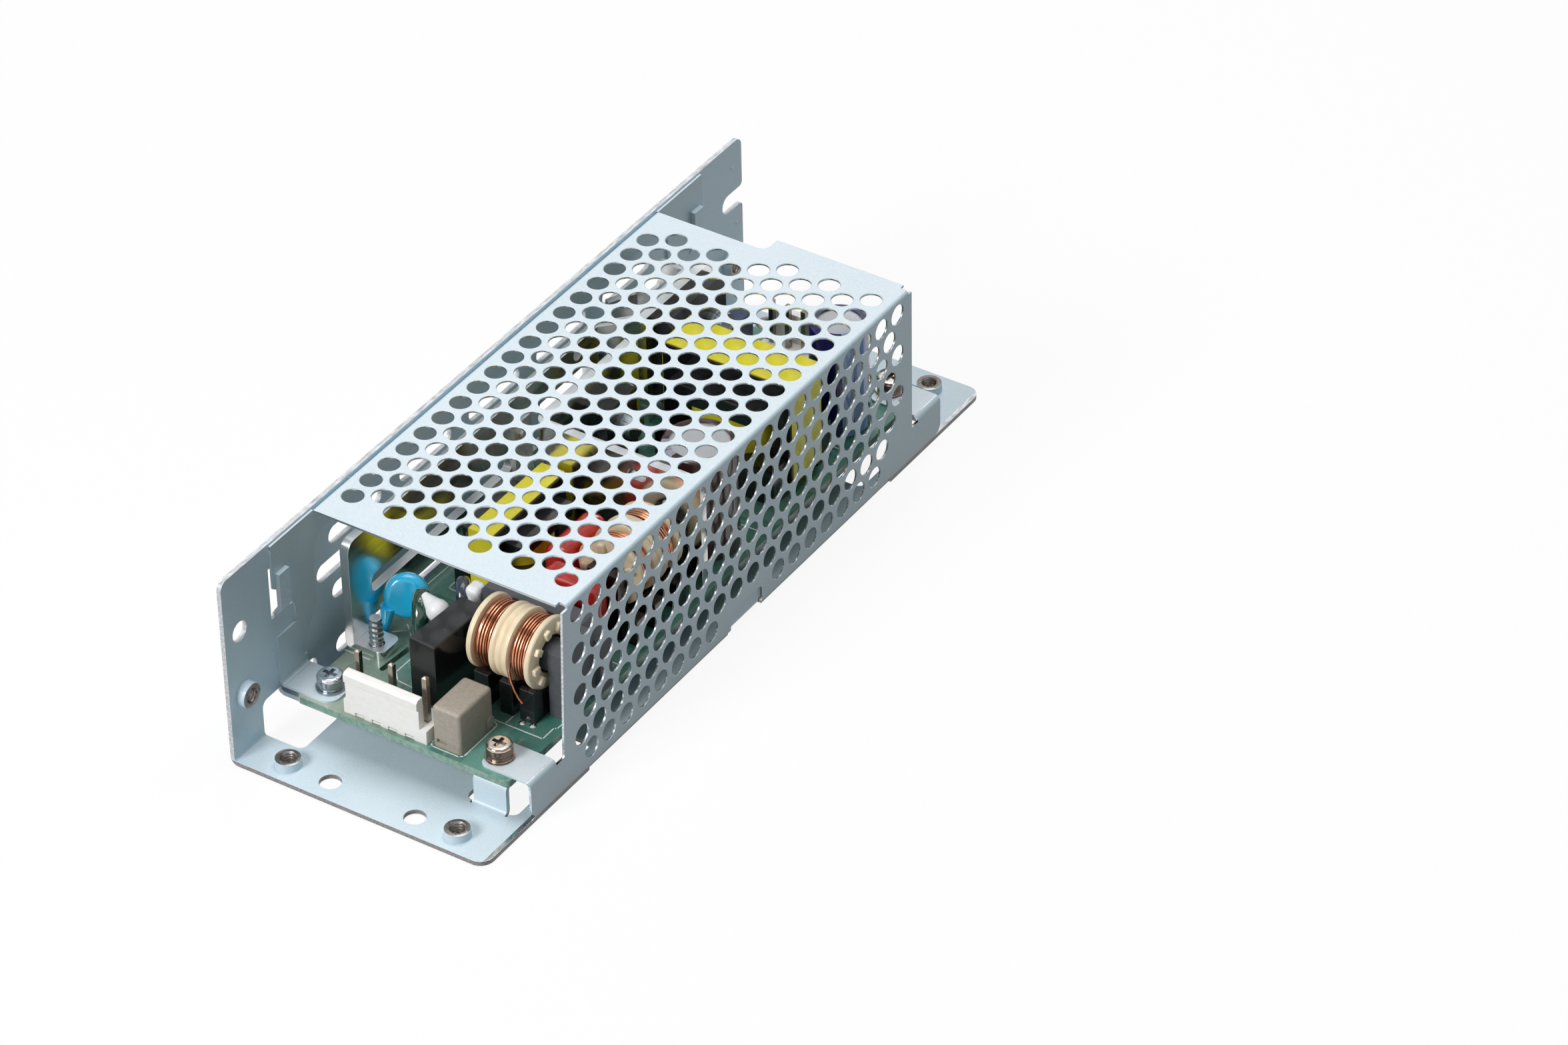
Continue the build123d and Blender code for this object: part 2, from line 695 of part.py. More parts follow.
def disc(centre, radius, thick, facing, leads):
    """A dipped disc with coated leads; facing is the way its flat side looks, leads are x and y."""
    middle = Vector(centre)
    face = Plane(middle, x_dir=Vector(0, 0, 1).cross(Vector(facing)), z_dir=facing)
    with BuildPart() as body:
        with BuildSketch(face.offset(-thick / 2)):
            Circle(radius)
        extrude(amount=thick)
        fillet(body.edges().filter_by(GeomType.CIRCLE), dip_round * thick)
        for lead_x, lead_y in leads:
            foot = Vector(lead_x, lead_y, 0)
            head = middle + (Vector(lead_x, lead_y, centre[2] - radius / 2) - middle) * dip_grip
            with BuildSketch(Plane(foot, z_dir=head - foot)):
                Circle(dip_foot * thick)
            with BuildSketch(Plane(head, z_dir=head - foot)):
                Circle(dip_skirt * thick)
            loft()
        with Locations((centre[0], centre[1], -thick / 2)):
            Box(4 * radius, 4 * radius, thick, mode=Mode.SUBTRACT)
    return body.part


# Surge absorber and a dark disc, both on edge, and the blue disc capacitor between them
on_edge = (0.84, 0.54, 0)
surge_disc = disc((13.2, 24.0, 9.3), 5.4, 3.4, on_edge, ((14.9, 21.4), (11.5, 26.6)))
write_on_board(surge_disc, "surge_disc")
dark_disc = disc((17.4, 32.2, 10.1), 4.2, 2.6, on_edge, ((18.6, 30.3), (16.2, 34.1)))
write_on_board(dark_disc, "dark_disc")
y_capacitor = disc((6.0, 29.0, 8.0), 4.65, 3.4, (0.52, -0.79, 0.33), ((2.9, 25.0), (8.6, 30.7)))
write_on_board(y_capacitor, "y_capacitor")

# Red dipped film capacitors, pillow shaped, on two leads each
lead_size = 0.8
lead_grip = 1.6
pillow_round = 0.4  # of the pillow's thickness


def film_capacitor(xs, ys, hs, leads):
    """A dipped film capacitor; leads are x and y places."""
    with BuildPart() as body:
        block(xs, ys, hs)
        fillet(body.edges(), pillow_round * min(xs[1] - xs[0], ys[1] - ys[0]))
        with BuildSketch(Plane.XY):
            with Locations(*leads):
                Circle(lead_size / 2)
        extrude(amount=hs[0] + lead_grip)
    return body.part


write_on_board(film_capacitor((29.5, 42.8), (40.7, 46.2), (3.5, 16.5), ((31.9, 43.45), (40.4, 43.45))),
               "film_capacitor_front")
write_on_board(film_capacitor((25.6, 31.2), (47.0, 63.0), (3.5, 16.2), ((28.4, 49.6), (28.4, 60.4))),
               "film_capacitor_side")

# Common mode chokes: a square core leg through a round bobbin with two windings
flange_radius = 7.65
flange_thick = 1.3
hub_radius = 4.6
rib_width = 4.4
winding_radius = 6.9
leg_size = 4.8
half_leg = leg_size / 2


def bobbin(axis, length):
    """Round bobbin along the plane's normal, with end flanges and two ribs in the middle."""
    middle = length / 2
    steps = [
        (0, 0),
        (flange_radius, 0),
        (flange_radius, flange_thick),
        (hub_radius, flange_thick),
        (hub_radius, middle - rib_width / 2),
        (flange_radius, middle - rib_width / 2),
        (flange_radius, middle - rib_width / 6),
        (winding_radius, middle),
        (flange_radius, middle + rib_width / 6),
        (flange_radius, middle + rib_width / 2),
        (hub_radius, middle + rib_width / 2),
        (hub_radius, length - flange_thick),
        (flange_radius, length - flange_thick),
        (flange_radius, length),
        (0, length),
    ]
    section = Plane(axis.origin, x_dir=axis.x_dir, z_dir=-axis.y_dir)
    with BuildPart() as body:
        with BuildSketch(section):
            with BuildLine():
                Polyline(*steps, close=True)
            make_face()
        revolve(axis=Axis(axis.origin, axis.z_dir))
        with BuildSketch(axis):
            Rectangle(leg_size + 2 * play, leg_size + 2 * play)
        extrude(amount=length, mode=Mode.SUBTRACT)
    return body.part


def windings(axis, length):
    """The two wound sections between the flanges and the ribs."""
    wound = (length - 2 * flange_thick - rib_width) / 2
    with BuildPart() as body:
        for start in (flange_thick, length - flange_thick - wound):
            with BuildSketch(axis.offset(start)):
                Circle(winding_radius)
                Circle(hub_radius, mode=Mode.SUBTRACT)
            extrude(amount=wound)
    return body.part


choke_1_place = (29.2, 23.8, 12.9)
choke_1_axis = Plane(choke_1_place, x_dir=(0, 1, 0), z_dir=(1, 0, 0))
choke_1_length = 14.8
write_on_board(bobbin(choke_1_axis, choke_1_length), "choke_1_bobbin")
write_on_board(windings(choke_1_axis, choke_1_length), "choke_1_windings")
limb_y = (21.0, 31.6)
leg_y = (choke_1_place[1] - half_leg, choke_1_place[1] + half_leg)
leg_h = (choke_1_place[2] - half_leg, choke_1_place[2] + half_leg)
slab_thick = 4.0
with BuildPart() as choke_1_core:
    # Back slab with bevelled upper corners, two end limbs and the leg through the bobbin
    with BuildSketch(Plane.XZ.offset(-limb_y[1])):
        with BuildLine():
            Polyline((22.3, 0), (22.3, 14.5), (23.3, 15.5), (46, 15.5), (50, 11.5), (50, 0), close=True)
        make_face()
    extrude(amount=-slab_thick)
    block((27.1, 28.9), limb_y, leg_h)
    block((45.2, 48.7), limb_y, (0, leg_h[1]))
    block((28.9, 45.2), leg_y, leg_h)
write_on_board(choke_1_core.part, "choke_1_core")
with BuildPart() as choke_1_base:
    # Black terminal feet that hold the bobbin between them
    for xs in ((30.4, 33.8), (36.4, 39.4), (41.0, 44.4)):
        block(xs, (17.0, 30.6), (0, 7.6))
    with BuildSketch(Plane.YZ.offset(choke_1_place[0])):
        with Locations(choke_1_place[1:]):
            Circle(flange_radius)
    extrude(amount=choke_1_length + flange_thick, mode=Mode.SUBTRACT)
write_on_board(choke_1_base.part, "choke_1_base")

choke_2_place = (39.3, 50.9, 13.0)
choke_2_axis = Plane(choke_2_place, x_dir=(1, 0, 0), z_dir=(0, 1, 0))
choke_2_length = 14.6
write_on_board(bobbin(choke_2_axis, choke_2_length), "choke_2_bobbin")
write_on_board(windings(choke_2_axis, choke_2_length), "choke_2_windings")
limb_x = (36.4, 43.6)
leg_x = (choke_2_place[0] - half_leg, choke_2_place[0] + half_leg)
leg_h = (choke_2_place[2] - half_leg, choke_2_place[2] + half_leg)
with BuildPart() as choke_2_core:
    # A ring that stands on the board: end limbs, foot bar and the leg through the bobbin
    block(limb_x, (47.3, 50.5), (0, leg_h[1]))
    block(limb_x, (65.9, 68.8), (0, leg_h[1]))
    block(limb_x, (50.5, 65.9), (0, 4.6))
    block(leg_x, (50.5, 65.9), leg_h)
write_on_board(choke_2_core.part, "choke_2_core")
with BuildPart() as choke_2_base:
    for ys in ((47.6, 50.8), (54.0, 57.2), (61.6, 64.8)):
        block((43.8, 47.6), ys, (0, 6.0))
write_on_board(choke_2_base.part, "choke_2_base")

# Transformers: a core with a window on both sides of a round leg, a bobbin, a winding and a tape
coil_flange = 1.4
hub_wall = 0.5
tape_wrap = 0.3
former_gap = 0.2  # between the bobbin's flanges or feet and the core


def rounded_leg(place, radius, bottom, top, mode=Mode.ADD):
    """A round leg between two heights over a place on the board."""
    with Locations(place.offset(bottom)):
        Cylinder(radius, top - bottom, align=(Align.CENTER, Align.CENTER, Align.MIN), mode=mode)


def upright(place, back):
    """The vertical plane through a place, along its x axis, moved back by a distance."""
    return Plane(place.origin + place.y_dir * back, x_dir=place.x_dir, z_dir=-place.y_dir)


def wound_core(name, place, long, deep, bottom, top, yoke, leg, coil, coil_top, lobe):
    """The four pieces of a transformer; place lies on the board with x along the core."""
    low = bottom + yoke
    high = top - yoke
    with BuildPart() as core:
        with BuildSketch(upright(place, deep / 2)):
            with Locations((0, (bottom + top) / 2)):
                Rectangle(long, top - bottom)
                Rectangle(long - 2 * yoke, high - low, mode=Mode.SUBTRACT)
        extrude(amount=deep)
        rounded_leg(place, leg, low, high)
    write_on_board(core.part, f"{name}_core")
    with BuildPart() as former:
        for height, thick in ((low, coil_flange), (coil_top, high - coil_top)):
            with BuildSketch(place.offset(height)):
                RectangleRounded(long - 2 * yoke - 2 * former_gap, 2 * lobe, coil_flange)
            extrude(amount=thick)
        rounded_leg(place, leg + hub_wall, low, high)
        foot_deep = lobe - deep / 2 - former_gap
        with BuildSketch(place):
            for side in ends:
                with Locations((0, side * (lobe - foot_deep / 2))):
                    Rectangle(long - 10 * former_gap, foot_deep)
        extrude(amount=low + coil_flange)
        rounded_leg(place, leg + play, low, high, mode=Mode.SUBTRACT)
    write_on_board(former.part, f"{name}_bobbin")
    with BuildPart() as winding:
        with BuildSketch(place.offset(low + coil_flange)):
            Circle(coil)
            Circle(leg + hub_wall, mode=Mode.SUBTRACT)
        extrude(amount=coil_top - low - coil_flange)
    write_on_board(winding.part, f"{name}_winding")
    with BuildPart() as tape:
        with BuildSketch(upright(place, deep / 2 - tape_wrap)):
            with Locations((0, (bottom + top) / 2)):
                Rectangle(long + 2 * tape_wrap, top - bottom + 2 * tape_wrap)
                Rectangle(long, top - bottom, mode=Mode.SUBTRACT)
        extrude(amount=deep - 2 * tape_wrap)
    write_on_board(tape.part, f"{name}_tape")


wound_core("transformer", Plane((31.35, 110.2, 0)), long=30.7, deep=11.0, bottom=3.0, top=26.4, yoke=4.4,
           leg=5.2, coil=10.2, coil_top=17.8, lobe=10.6)
wound_core("inductor", Plane((14.4, 55.2, 0), x_dir=(0, 1, 0)), long=24.7, deep=6.2, bottom=2.4, top=17.7,
           yoke=3.2, leg=3.0, coil=7.2, coil_top=12.2, lobe=7.7)

# Main heatsink: folded aluminium along the board's left edge, screwed down through its foot
plate = 2.0
heatsink_top = 26.0
outer_x = -0.6
rear_x = 6.2
foot_front = 17.2
foot_back = 23.5
foot_end = 8.2
foot_round = 1.5
with BuildPart() as main_heatsink:
    with BuildSketch(Plane.XY):
        with BuildLine():
            Polyline(
                (outer_x, foot_front),
                (outer_x, 103.6),
                (rear_x, 111.0),
                (rear_x, 134.5),
                (rear_x + plate, 134.5),
                (rear_x + plate, 110.2),
                (outer_x + plate, 102.8),
                (outer_x + plate, foot_front),
                close=True,
            )
        make_face()
    extrude(amount=heatsink_top)
    block((outer_x, outer_x + plate), (24.5, 100.0), (0, 4.5), mode=Mode.SUBTRACT)
    with BuildSketch(Plane.YZ.offset(outer_x)):
        for ys, hs in (((24.0, 72.0), (9.8, 14.0)), ((76.0, 100.0), (9.6, 19.5))):
            with Locations((sum(ys) / 2, sum(hs) / 2)):
                RectangleRounded(ys[1] - ys[0], hs[1] - hs[0], foot_round)
        with Locations((95.8, 23.6)):
            Circle(1.5)
    extrude(amount=plate, mode=Mode.SUBTRACT)
    fillet(main_heatsink.edges().filter_by(Axis.X).group_by(Axis.Z)[-1].sort_by(Axis.Y)[0], 2.5)
    block((outer_x, foot_end), (foot_front, foot_back), (0, plate))
    foot_corners = main_heatsink.edges().filter_by(Axis.Z).filter_by_position(Axis.Z, 0, plate)
    fillet(foot_corners.filter_by_position(Axis.X, foot_end - play, foot_end + play), foot_round)
    fillet(main_heatsink.edges().filter_by(Axis.Y).sort_by_distance((outer_x, foot_front, 0))[0], plate)
    with Locations((*foot_screw, plate / 2)):
        Cylinder(foot_screw_size / 2 + play, 2 * plate, mode=Mode.SUBTRACT)
write_on_board(main_heatsink.part, "main_heatsink")
foot_head = (5.4, 2.0)
foot_tip = (6.4, 0.6)  # rise above the foot, and its bevel
with BuildPart() as heatsink_screw:
    # Driven up from below, its tip stands out above the foot
    head_face = Plane((*foot_screw, -board_thick / unit))
    with BuildSketch(head_face):
        Circle(foot_screw_size / 2)
    extrude(amount=board_thick / unit + plate + foot_tip[0])
    chamfer(heatsink_screw.edges().group_by(Axis.Z)[-1], foot_tip[1])
    with BuildSketch(head_face):
        Circle(foot_head[0] / 2)
    extrude(amount=-foot_head[1])
write_on_board(heatsink_screw.part, "heatsink_screw")

# Folded strip between the heatsink's rear stretch and the chassis wall
strip_thick = 1.5
with BuildPart() as wall_bracket:
    with BuildSketch(Plane.XY.offset(16.0)):
        touch_x = rear_x - strip_thick / 2
        with BuildLine():
            path = Polyline((-2.0, 111.4), (1.2, 117.4), (touch_x, 120.0), (touch_x, 129.4), (-1.0, 129.4))
        trace(path, line_width=strip_thick)
    extrude(amount=10.0)
write_on_board(wall_bracket.part, "wall_bracket")

# Rectifier and transistor, flat black packages screwed against the heatsinks
package_x = rear_x + plate
with BuildPart() as rectifier:
    block((package_x, package_x + 4.7), (113.0, 132.6), (4.0, 24.5))
    chamfer(rectifier.edges().filter_by(Axis.Y).group_by(Axis.Z)[-1].sort_by(Axis.X)[-1], 1.4)
    for y in (115.5, 120.5, 125.5, 130.5):
        block((10.0, 10.8), (y - 0.6, y + 0.6), (0, 4.0))
write_on_board(rectifier.part, "rectifier")
with BuildPart() as transistor:
    block((10.9, 15.4), (85.5, 96.0), (4.0, 20.5))
    for y in (88.2, 90.75, 93.3):
        block((12.8, 13.4), (y - 0.5, y + 0.5), (0, 4.0))
write_on_board(transistor.part, "transistor")
package_washer = (6.0, 1.3)
package_head = (5.4, 2.2)
with BuildPart() as package_screws:
    # Each screw presses two washers on the package
    for place in ((package_x + 4.7, 127.4, 17.0), (15.4, 90.75, 15.0)):
        seat = Plane(place, x_dir=(0, 1, 0), z_dir=(1, 0, 0))
        with BuildSketch(seat):
            Circle(package_washer[0] / 2)
        extrude(amount=package_washer[1])
        with BuildSketch(seat.offset(package_washer[1])):
            Circle(package_head[0] / 2)
        extrude(amount=package_head[1])
write_on_board(package_screws.part, "package_screws")

# Second heatsink: a plate across the board and a return along it
cross_y = 69.0
return_x = 8.9
return_round = 3.0
with BuildPart() as second_heatsink:
    with BuildSketch(Plane.XY):
        with BuildLine():
            Polyline(
                (48.8, cross_y),
                (return_x, cross_y),
                (return_x, 103.5),
                (return_x + plate, 103.5),
                (return_x + plate, cross_y + plate),
                (48.8, cross_y + plate),
                close=True,
            )
        make_face()
    extrude(amount=26.5)
    corners = second_heatsink.edges().filter_by(Axis.Z)
    fillet(corners.sort_by_distance((return_x, cross_y, 0))[0], return_round)
    corners = second_heatsink.edges().filter_by(Axis.Z)
    fillet(corners.sort_by_distance((return_x + plate, cross_y + plate, 0))[0], return_round - plate)
    fillet(second_heatsink.edges().filter_by(Axis.Y).group_by(Axis.Z)[-1].sort_by(Axis.X)[-1], foot_round)
    for ys, hs in (((75.0, 82.0), (8.0, 18.7)), ((97.0, 101.5), (6.0, 18.0))):
        block((return_x, return_x + plate), ys, hs, mode=Mode.SUBTRACT)
    with BuildSketch(Plane.XZ.offset(-cross_y)):
        with Locations((33.8, 22.9)):
            SlotOverall(4.4, 2.4)
        with Locations((40.9, 18.3)):
            Circle(1.2)
    extrude(amount=-plate, mode=Mode.SUBTRACT)
write_on_board(second_heatsink.part, "second_heatsink")

# Steel strip beside the main heatsink, with two rivets
strip_face = 5.0
rivet = (2.8, 0.8)
with BuildPart() as steel_strip:
    block((strip_face - sheet, strip_face), (68.2, 74.2), (0, 23.8))
    with BuildSketch(Plane((strip_face, 0, 0), x_dir=(0, 1, 0), z_dir=(1, 0, 0))):
        with Locations((71.2, 21.0), (71.2, 13.5)):
            Circle(rivet[0] / 2)
    extrude(amount=rivet[1])
write_on_board(steel_strip.part, "steel_strip")

# Electrolytic capacitors of the input and the output side
sleeve_skin = 0.35
sleeve_lip = 1.6
sleeve_round = 2 * sleeve_skin


def electrolytic(name, x, y, radius, rise):
    """An aluminium can and its printed sleeve, which folds over the can's shoulder."""
    with BuildPart() as can:
        with BuildSketch(Plane((x, y, 0))):
            Circle(radius - sleeve_skin)
        extrude(amount=rise - sleeve_skin)
    write_on_board(can.part, f"{name}_can")
    with BuildPart() as sleeve:
        with BuildSketch(Plane((x, y, sleeve_skin))):
            Circle(radius)
        extrude(amount=rise - sleeve_skin)
        fillet(sleeve.edges().group_by(Axis.Z)[-1], sleeve_round)
        with BuildSketch(Plane((x, y, 0))):
            Circle(radius - sleeve_lip)
        extrude(amount=rise, mode=Mode.SUBTRACT)
        add(can.part, mode=Mode.SUBTRACT)
    write_on_board(sleeve.part, f"{name}_sleeve")


electrolytic("bulk_capacitor", 39.5, 82.8, 7.75, 25.0)
electrolytic("output_capacitor", 41.0, 131.6, 6.25, 25.0)

# White silicone: a drop between the surge absorber and the X capacitor, and a clump at the first choke
drop_tip = Vector(14.2, 23.9, 14.9)
drop_middle = Vector(18.2, 22.7, 13.4)
drop_radius = (0.7, 2.35)
clump_round = 1.2
with BuildPart() as silicone:
    with BuildSketch(Plane(drop_tip, z_dir=drop_middle - drop_tip)):
        Circle(drop_radius[0])
    with BuildSketch(Plane(drop_middle, z_dir=drop_middle - drop_tip)):
        Circle(drop_radius[1])
    loft()
    with Locations(drop_middle):
        Sphere(drop_radius[1])
    block((18.9, 22.3), (30.2, 34.2), (0, 14.5))
    fillet(silicone.solids().sort_by(Axis.Y)[-1].edges(), clump_round)
    add(x_capacitor.part, mode=Mode.SUBTRACT)
    add(surge_disc, mode=Mode.SUBTRACT)
    add(dark_disc, mode=Mode.SUBTRACT)
write_on_board(silicone.part, "silicone")
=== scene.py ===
import math

import bmesh
import bpy
from mathutils import Matrix, Vector, geometry, kdtree


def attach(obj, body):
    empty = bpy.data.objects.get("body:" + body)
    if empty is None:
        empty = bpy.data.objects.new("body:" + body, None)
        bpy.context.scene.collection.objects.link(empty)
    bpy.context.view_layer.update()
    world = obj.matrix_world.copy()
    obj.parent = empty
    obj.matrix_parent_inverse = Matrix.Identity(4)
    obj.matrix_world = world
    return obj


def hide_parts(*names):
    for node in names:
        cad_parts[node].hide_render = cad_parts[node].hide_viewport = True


# Looks of the enclosed switching power supply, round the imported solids.
# Shapes are written in millimetres and scaled to metres when a piece is made.

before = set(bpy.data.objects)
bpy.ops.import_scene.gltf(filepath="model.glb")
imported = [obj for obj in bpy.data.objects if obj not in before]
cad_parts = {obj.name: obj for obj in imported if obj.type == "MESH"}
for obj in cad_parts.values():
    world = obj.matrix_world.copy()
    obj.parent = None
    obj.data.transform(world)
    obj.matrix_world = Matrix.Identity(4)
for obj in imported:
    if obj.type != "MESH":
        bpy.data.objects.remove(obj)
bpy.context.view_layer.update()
MM = 0.001

# Places shared with the part's source, in millimetres
BOARD = Vector((-24.3, -75.5, 9.4))  # front left corner of the board's top face
BASE_TOP = 1.0
WALL_OUTSIDE, WALL_INSIDE = -30.0, -29.0
COVER_RIGHT, COVER_TOP, COVER_SHEET = 30.0, 43.5, 0.5
COVER_FRONT, COVER_BACK_LEFT, COVER_BACK_RIGHT = -61.0, 58.2, 62.6
COVER_STEP_X = -2.2  # where the top's rear edge steps back
NOTCH_FRONT, NOTCH_BACK, NOTCH_TOP = -5.1, 6.2, 5.1
FOOT_TOP = 8.6
FEET_FRONT, FEET_BACK = -66.6, 66.0
COLLARS_X, COLLARS_Y, WALL_COLLAR_Z = (-19.6, 20.4), (-85.3, 84.7), 14.8
SCREW_JOINTS = (10.4, 11.2)  # heights at which a board screw's washers meet
PIN_PITCH = 3.96

# The cover's holes: two staggered fields, with holes left out at the notch and the rear foot
HOLE = 4.5
HOLE_RIM = 0.1  # how far the rim is rolled, on both faces of the sheet
ACROSS, ALONG = 5.0, 3.0  # steps of the stagger
STEPS_ALONG, TOP_STEPS_ACROSS, SIDE_STEPS_ACROSS = 40, 12, 8
TOP_FIRST = (-24.7, -53.2)  # x and y
TOP_LAST_X = 26.0
REAR_MARGIN = 6.0  # from the top's rear edge to the nearest centres
SIDE_FIRST = (-56.7, 40.0)  # y and z
SIDE_LAST_Y = 58.2
NOTCH_MARGIN = 2.2  # from the notch to the nearest centres
FOOT_FREE_Y, FOOT_FREE_Z = 53.8, 11.4  # no centres behind and below this corner

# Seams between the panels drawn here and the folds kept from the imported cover
SEAM_LEFT, SEAM_RIGHT, SEAM_HEIGHT = -27.5, 29.05, 42.55

# Bands in which faces across a sheet count as its cut edges, and where they end at a fold
BASE_BAND, TOP_BAND, WALL_BAND, SIDE_BAND = 0.99, 42.6, -28.99, 28.99
TOP_BAND_LEFT, WALL_BAND_FOOT, SIDE_BAND_HEIGHT = -28.9, 1.9, 42.5


def on_board(x, y, h=0.0):
    """A point measured from the board's front left corner and its top face."""
    return BOARD + Vector((x, y, h))


def srgb(red, green, blue):
    """A colour as it looks on screen, 0 to 255, as the linear values that a shader takes."""
    linear = []
    for value in (red, green, blue):
        value = value / 255
        linear.append(value / 12.92 if value <= 0.04045 else ((value + 0.055) / 1.055) ** 2.4)
    return (*linear, 1.0)


def shade(colour, factor):
    """A colour made darker or lighter, and never brighter than white."""
    return (*(min(1.0, part * factor) for part in colour[:3]), 1.0)


# Materials
class Shader:
    """A material with a Principled shader and short ways to add nodes to it."""

    def __init__(self, name):
        self.material = bpy.data.materials.new(name)
        self.material.use_nodes = True
        self.tree = self.material.node_tree
        self.main = self.tree.nodes["Principled BSDF"]
        self.place = self.node("ShaderNodeTexCoord").outputs["Object"]

    def node(self, kind, **settings):
        new = self.tree.nodes.new(kind)
        for key, value in settings.items():
            setattr(new, key, value)
        return new

    def link(self, source, target):
        self.tree.links.new(source, target)

    def feed(self, **inputs):
        """Set or link inputs of the Principled shader; an underscore stands for a space."""
        for key, value in inputs.items():
            socket = self.main.inputs[key.replace("_", " ")]
            if isinstance(value, (int, float, tuple)):
                socket.default_value = value
            else:
                self.link(value, socket)

    def maths(self, operation, first, second=0.0):
        new = self.node("ShaderNodeMath", operation=operation)
        for socket, value in zip(new.inputs, (first, second)):
            if isinstance(value, (int, float)):
                socket.default_value = value
            else:
                self.link(value, socket)
        return new.outputs[0]

    def over(self, value, limit):
        return self.maths("GREATER_THAN", value, limit)

    def under(self, value, limit):
        return self.maths("LESS_THAN", value, limit)

    def all_of(self, *values):
        result = values[0]
        for value in values[1:]:
            result = self.maths("MULTIPLY", result, value)
        return result

    def noise(self, size, detail=3.0, stretch=(1.0, 1.0, 1.0)):
        """Noise whose features are about size millimetres."""
        mapping = self.node("ShaderNodeMapping")
        mapping.inputs["Scale"].default_value = stretch
        self.link(self.place, mapping.inputs["Vector"])
        new = self.node("ShaderNodeTexNoise")
        new.inputs["Scale"].default_value = 1 / (size * MM)
        new.inputs["Detail"].default_value = detail
        self.link(mapping.outputs["Vector"], new.inputs["Vector"])
        return new.outputs["Fac"]

    def spread(self, value, low, high, start=0.3, end=0.7):
        """Map a value between start and end to one between low and high."""
        new = self.node("ShaderNodeMapRange")
        self.link(value, new.inputs["Value"])
        new.inputs["From Min"].default_value = start
        new.inputs["From Max"].default_value = end
        new.inputs["To Min"].default_value = low
        new.inputs["To Max"].default_value = high
        return new.outputs["Result"]

    def mix(self, factor, first, second, blend="MIX"):
        new = self.node("ShaderNodeMix", data_type="RGBA", blend_type=blend)
        self.link(factor, new.inputs["Factor"])
        for socket, value in ((new.inputs[6], first), (new.inputs[7], second)):
            if isinstance(value, tuple):
                socket.default_value = value
            else:
                self.link(value, socket)
        return new.outputs[2]

    def axis(self, index, source=None):
        new = self.node("ShaderNodeSeparateXYZ")
        self.link(source or self.place, new.inputs["Vector"])
        return new.outputs[index]

    def facing(self, index):
        """How far the surface faces along an axis of the object, without sign."""
        normal = self.node("ShaderNodeNewGeometry").outputs["True Normal"]
        return self.maths("ABSOLUTE", self.axis(index, normal))

    def relief(self, value, depth, rounding=0.0):
        """Bump of a depth in millimetres, on edges that look rounded by a radius."""
        bump = self.node("ShaderNodeBump")
        bump.inputs["Strength"].default_value = 1.0
        bump.inputs["Distance"].default_value = depth * MM
        self.link(value, bump.inputs["Height"])
        if rounding:
            edge = self.node("ShaderNodeBevel", samples=4)
            edge.inputs["Radius"].default_value = rounding * MM
            self.link(edge.outputs["Normal"], bump.inputs["Normal"])
        self.feed(Normal=bump.outputs["Normal"])


def finish(name, colour, rough, metal=0.0, vary=0.08, grain=1.5, relief=0.0, relief_grain=0.3,
           coat=0.0, soft=0.0, rounding=0.0, spread=0.06):
    """A plain finish: colour and roughness that vary a little together, and a fine relief."""
    look = Shader(name)
    grains = look.noise(grain)
    tones = shade(colour, 1 - vary), shade(colour, 1 + vary)
    look.feed(Base_Color=look.mix(look.spread(grains, 0.0, 1.0), *tones),
              Roughness=look.spread(grains, rough - spread, rough + spread),
              Metallic=metal, Coat_Weight=coat, Coat_Roughness=0.08)
    if soft:
        look.feed(Subsurface_Weight=soft, Subsurface_Scale=0.6 * MM,
                  Subsurface_Radius=(1.0, 0.8, 0.6))
    if relief or rounding:
        look.relief(look.noise(relief_grain), relief, rounding)
    return look


def sheet_steel(name, colour, upright_shade):
    """Zinc-plated sheet with a fine grain, faint streaks from rolling and cut edges.

    Faces along X are multiplied by a second colour, a painted shade that makes them darker and
    bluer.
    """
    look = Shader(name)
    fine = look.noise(0.35, detail=2.0)
    cloud = look.noise(14.0, detail=4.0, stretch=(1.0, 0.35, 1.0))
    light = shade(colour, 1.06)
    body = look.mix(look.spread(fine, 0.0, 1.0, 0.25, 0.75), shade(colour, 0.9), light)
    body = look.mix(look.spread(cloud, 0.0, 0.5), body, light)
    # Painted shade: faces along X are multiplied by the second colour, darker and bluer
    body = look.mix(look.facing(0), body, upright_shade, blend="MULTIPLY")
    # Cut edges: the faces across the sheet, on its level parts and on its upright ones
    x, z = look.axis(0), look.axis(2)
    across_level, across_upright = look.under(look.facing(2), 0.4), look.under(look.facing(0), 0.4)
    base = look.all_of(look.under(z, BASE_BAND * MM), across_level)
    top = look.all_of(look.over(z, TOP_BAND * MM), across_level, look.under(look.facing(0), 0.9),
                      look.over(x, TOP_BAND_LEFT * MM))
    wall = look.all_of(look.under(x, WALL_BAND * MM), across_upright,
                       look.over(z, WALL_BAND_FOOT * MM))
    side = look.all_of(look.over(x, SIDE_BAND * MM), across_upright,
                       look.under(z, SIDE_BAND_HEIGHT * MM))
    streak = look.spread(look.noise(0.5, stretch=(1.0, 0.2, 1.0)), 0.0, 1.0)
    # The wall's and the side's cut edges are raw steel, painted pale as well for the highlight they
    # catch; the base's stay dull
    edge_tone_and_highlight = look.mix(streak, srgb(168, 172, 176), srgb(232, 236, 238))
    dull = look.mix(streak, srgb(118, 114, 114), srgb(168, 164, 163))
    body = look.mix(look.maths("MAXIMUM", wall, side), body, edge_tone_and_highlight)
    body = look.mix(base, body, dull)
    # The punched walls of the cover's holes are bright metal that mirrors what lies behind them
    punched = look.maths("MAXIMUM", top, side)
    rough = look.spread(fine, 0.34, 0.48)
    look.feed(Base_Color=look.mix(top, body, srgb(188, 193, 196)),
              Roughness=look.maths("SUBTRACT", rough, look.maths("MULTIPLY", punched, 0.18)),
              Metallic=look.spread(punched, 0.08, 0.95, 0.0, 1.0))
    look.relief(fine, 0.004, rounding=0.12)
    return look


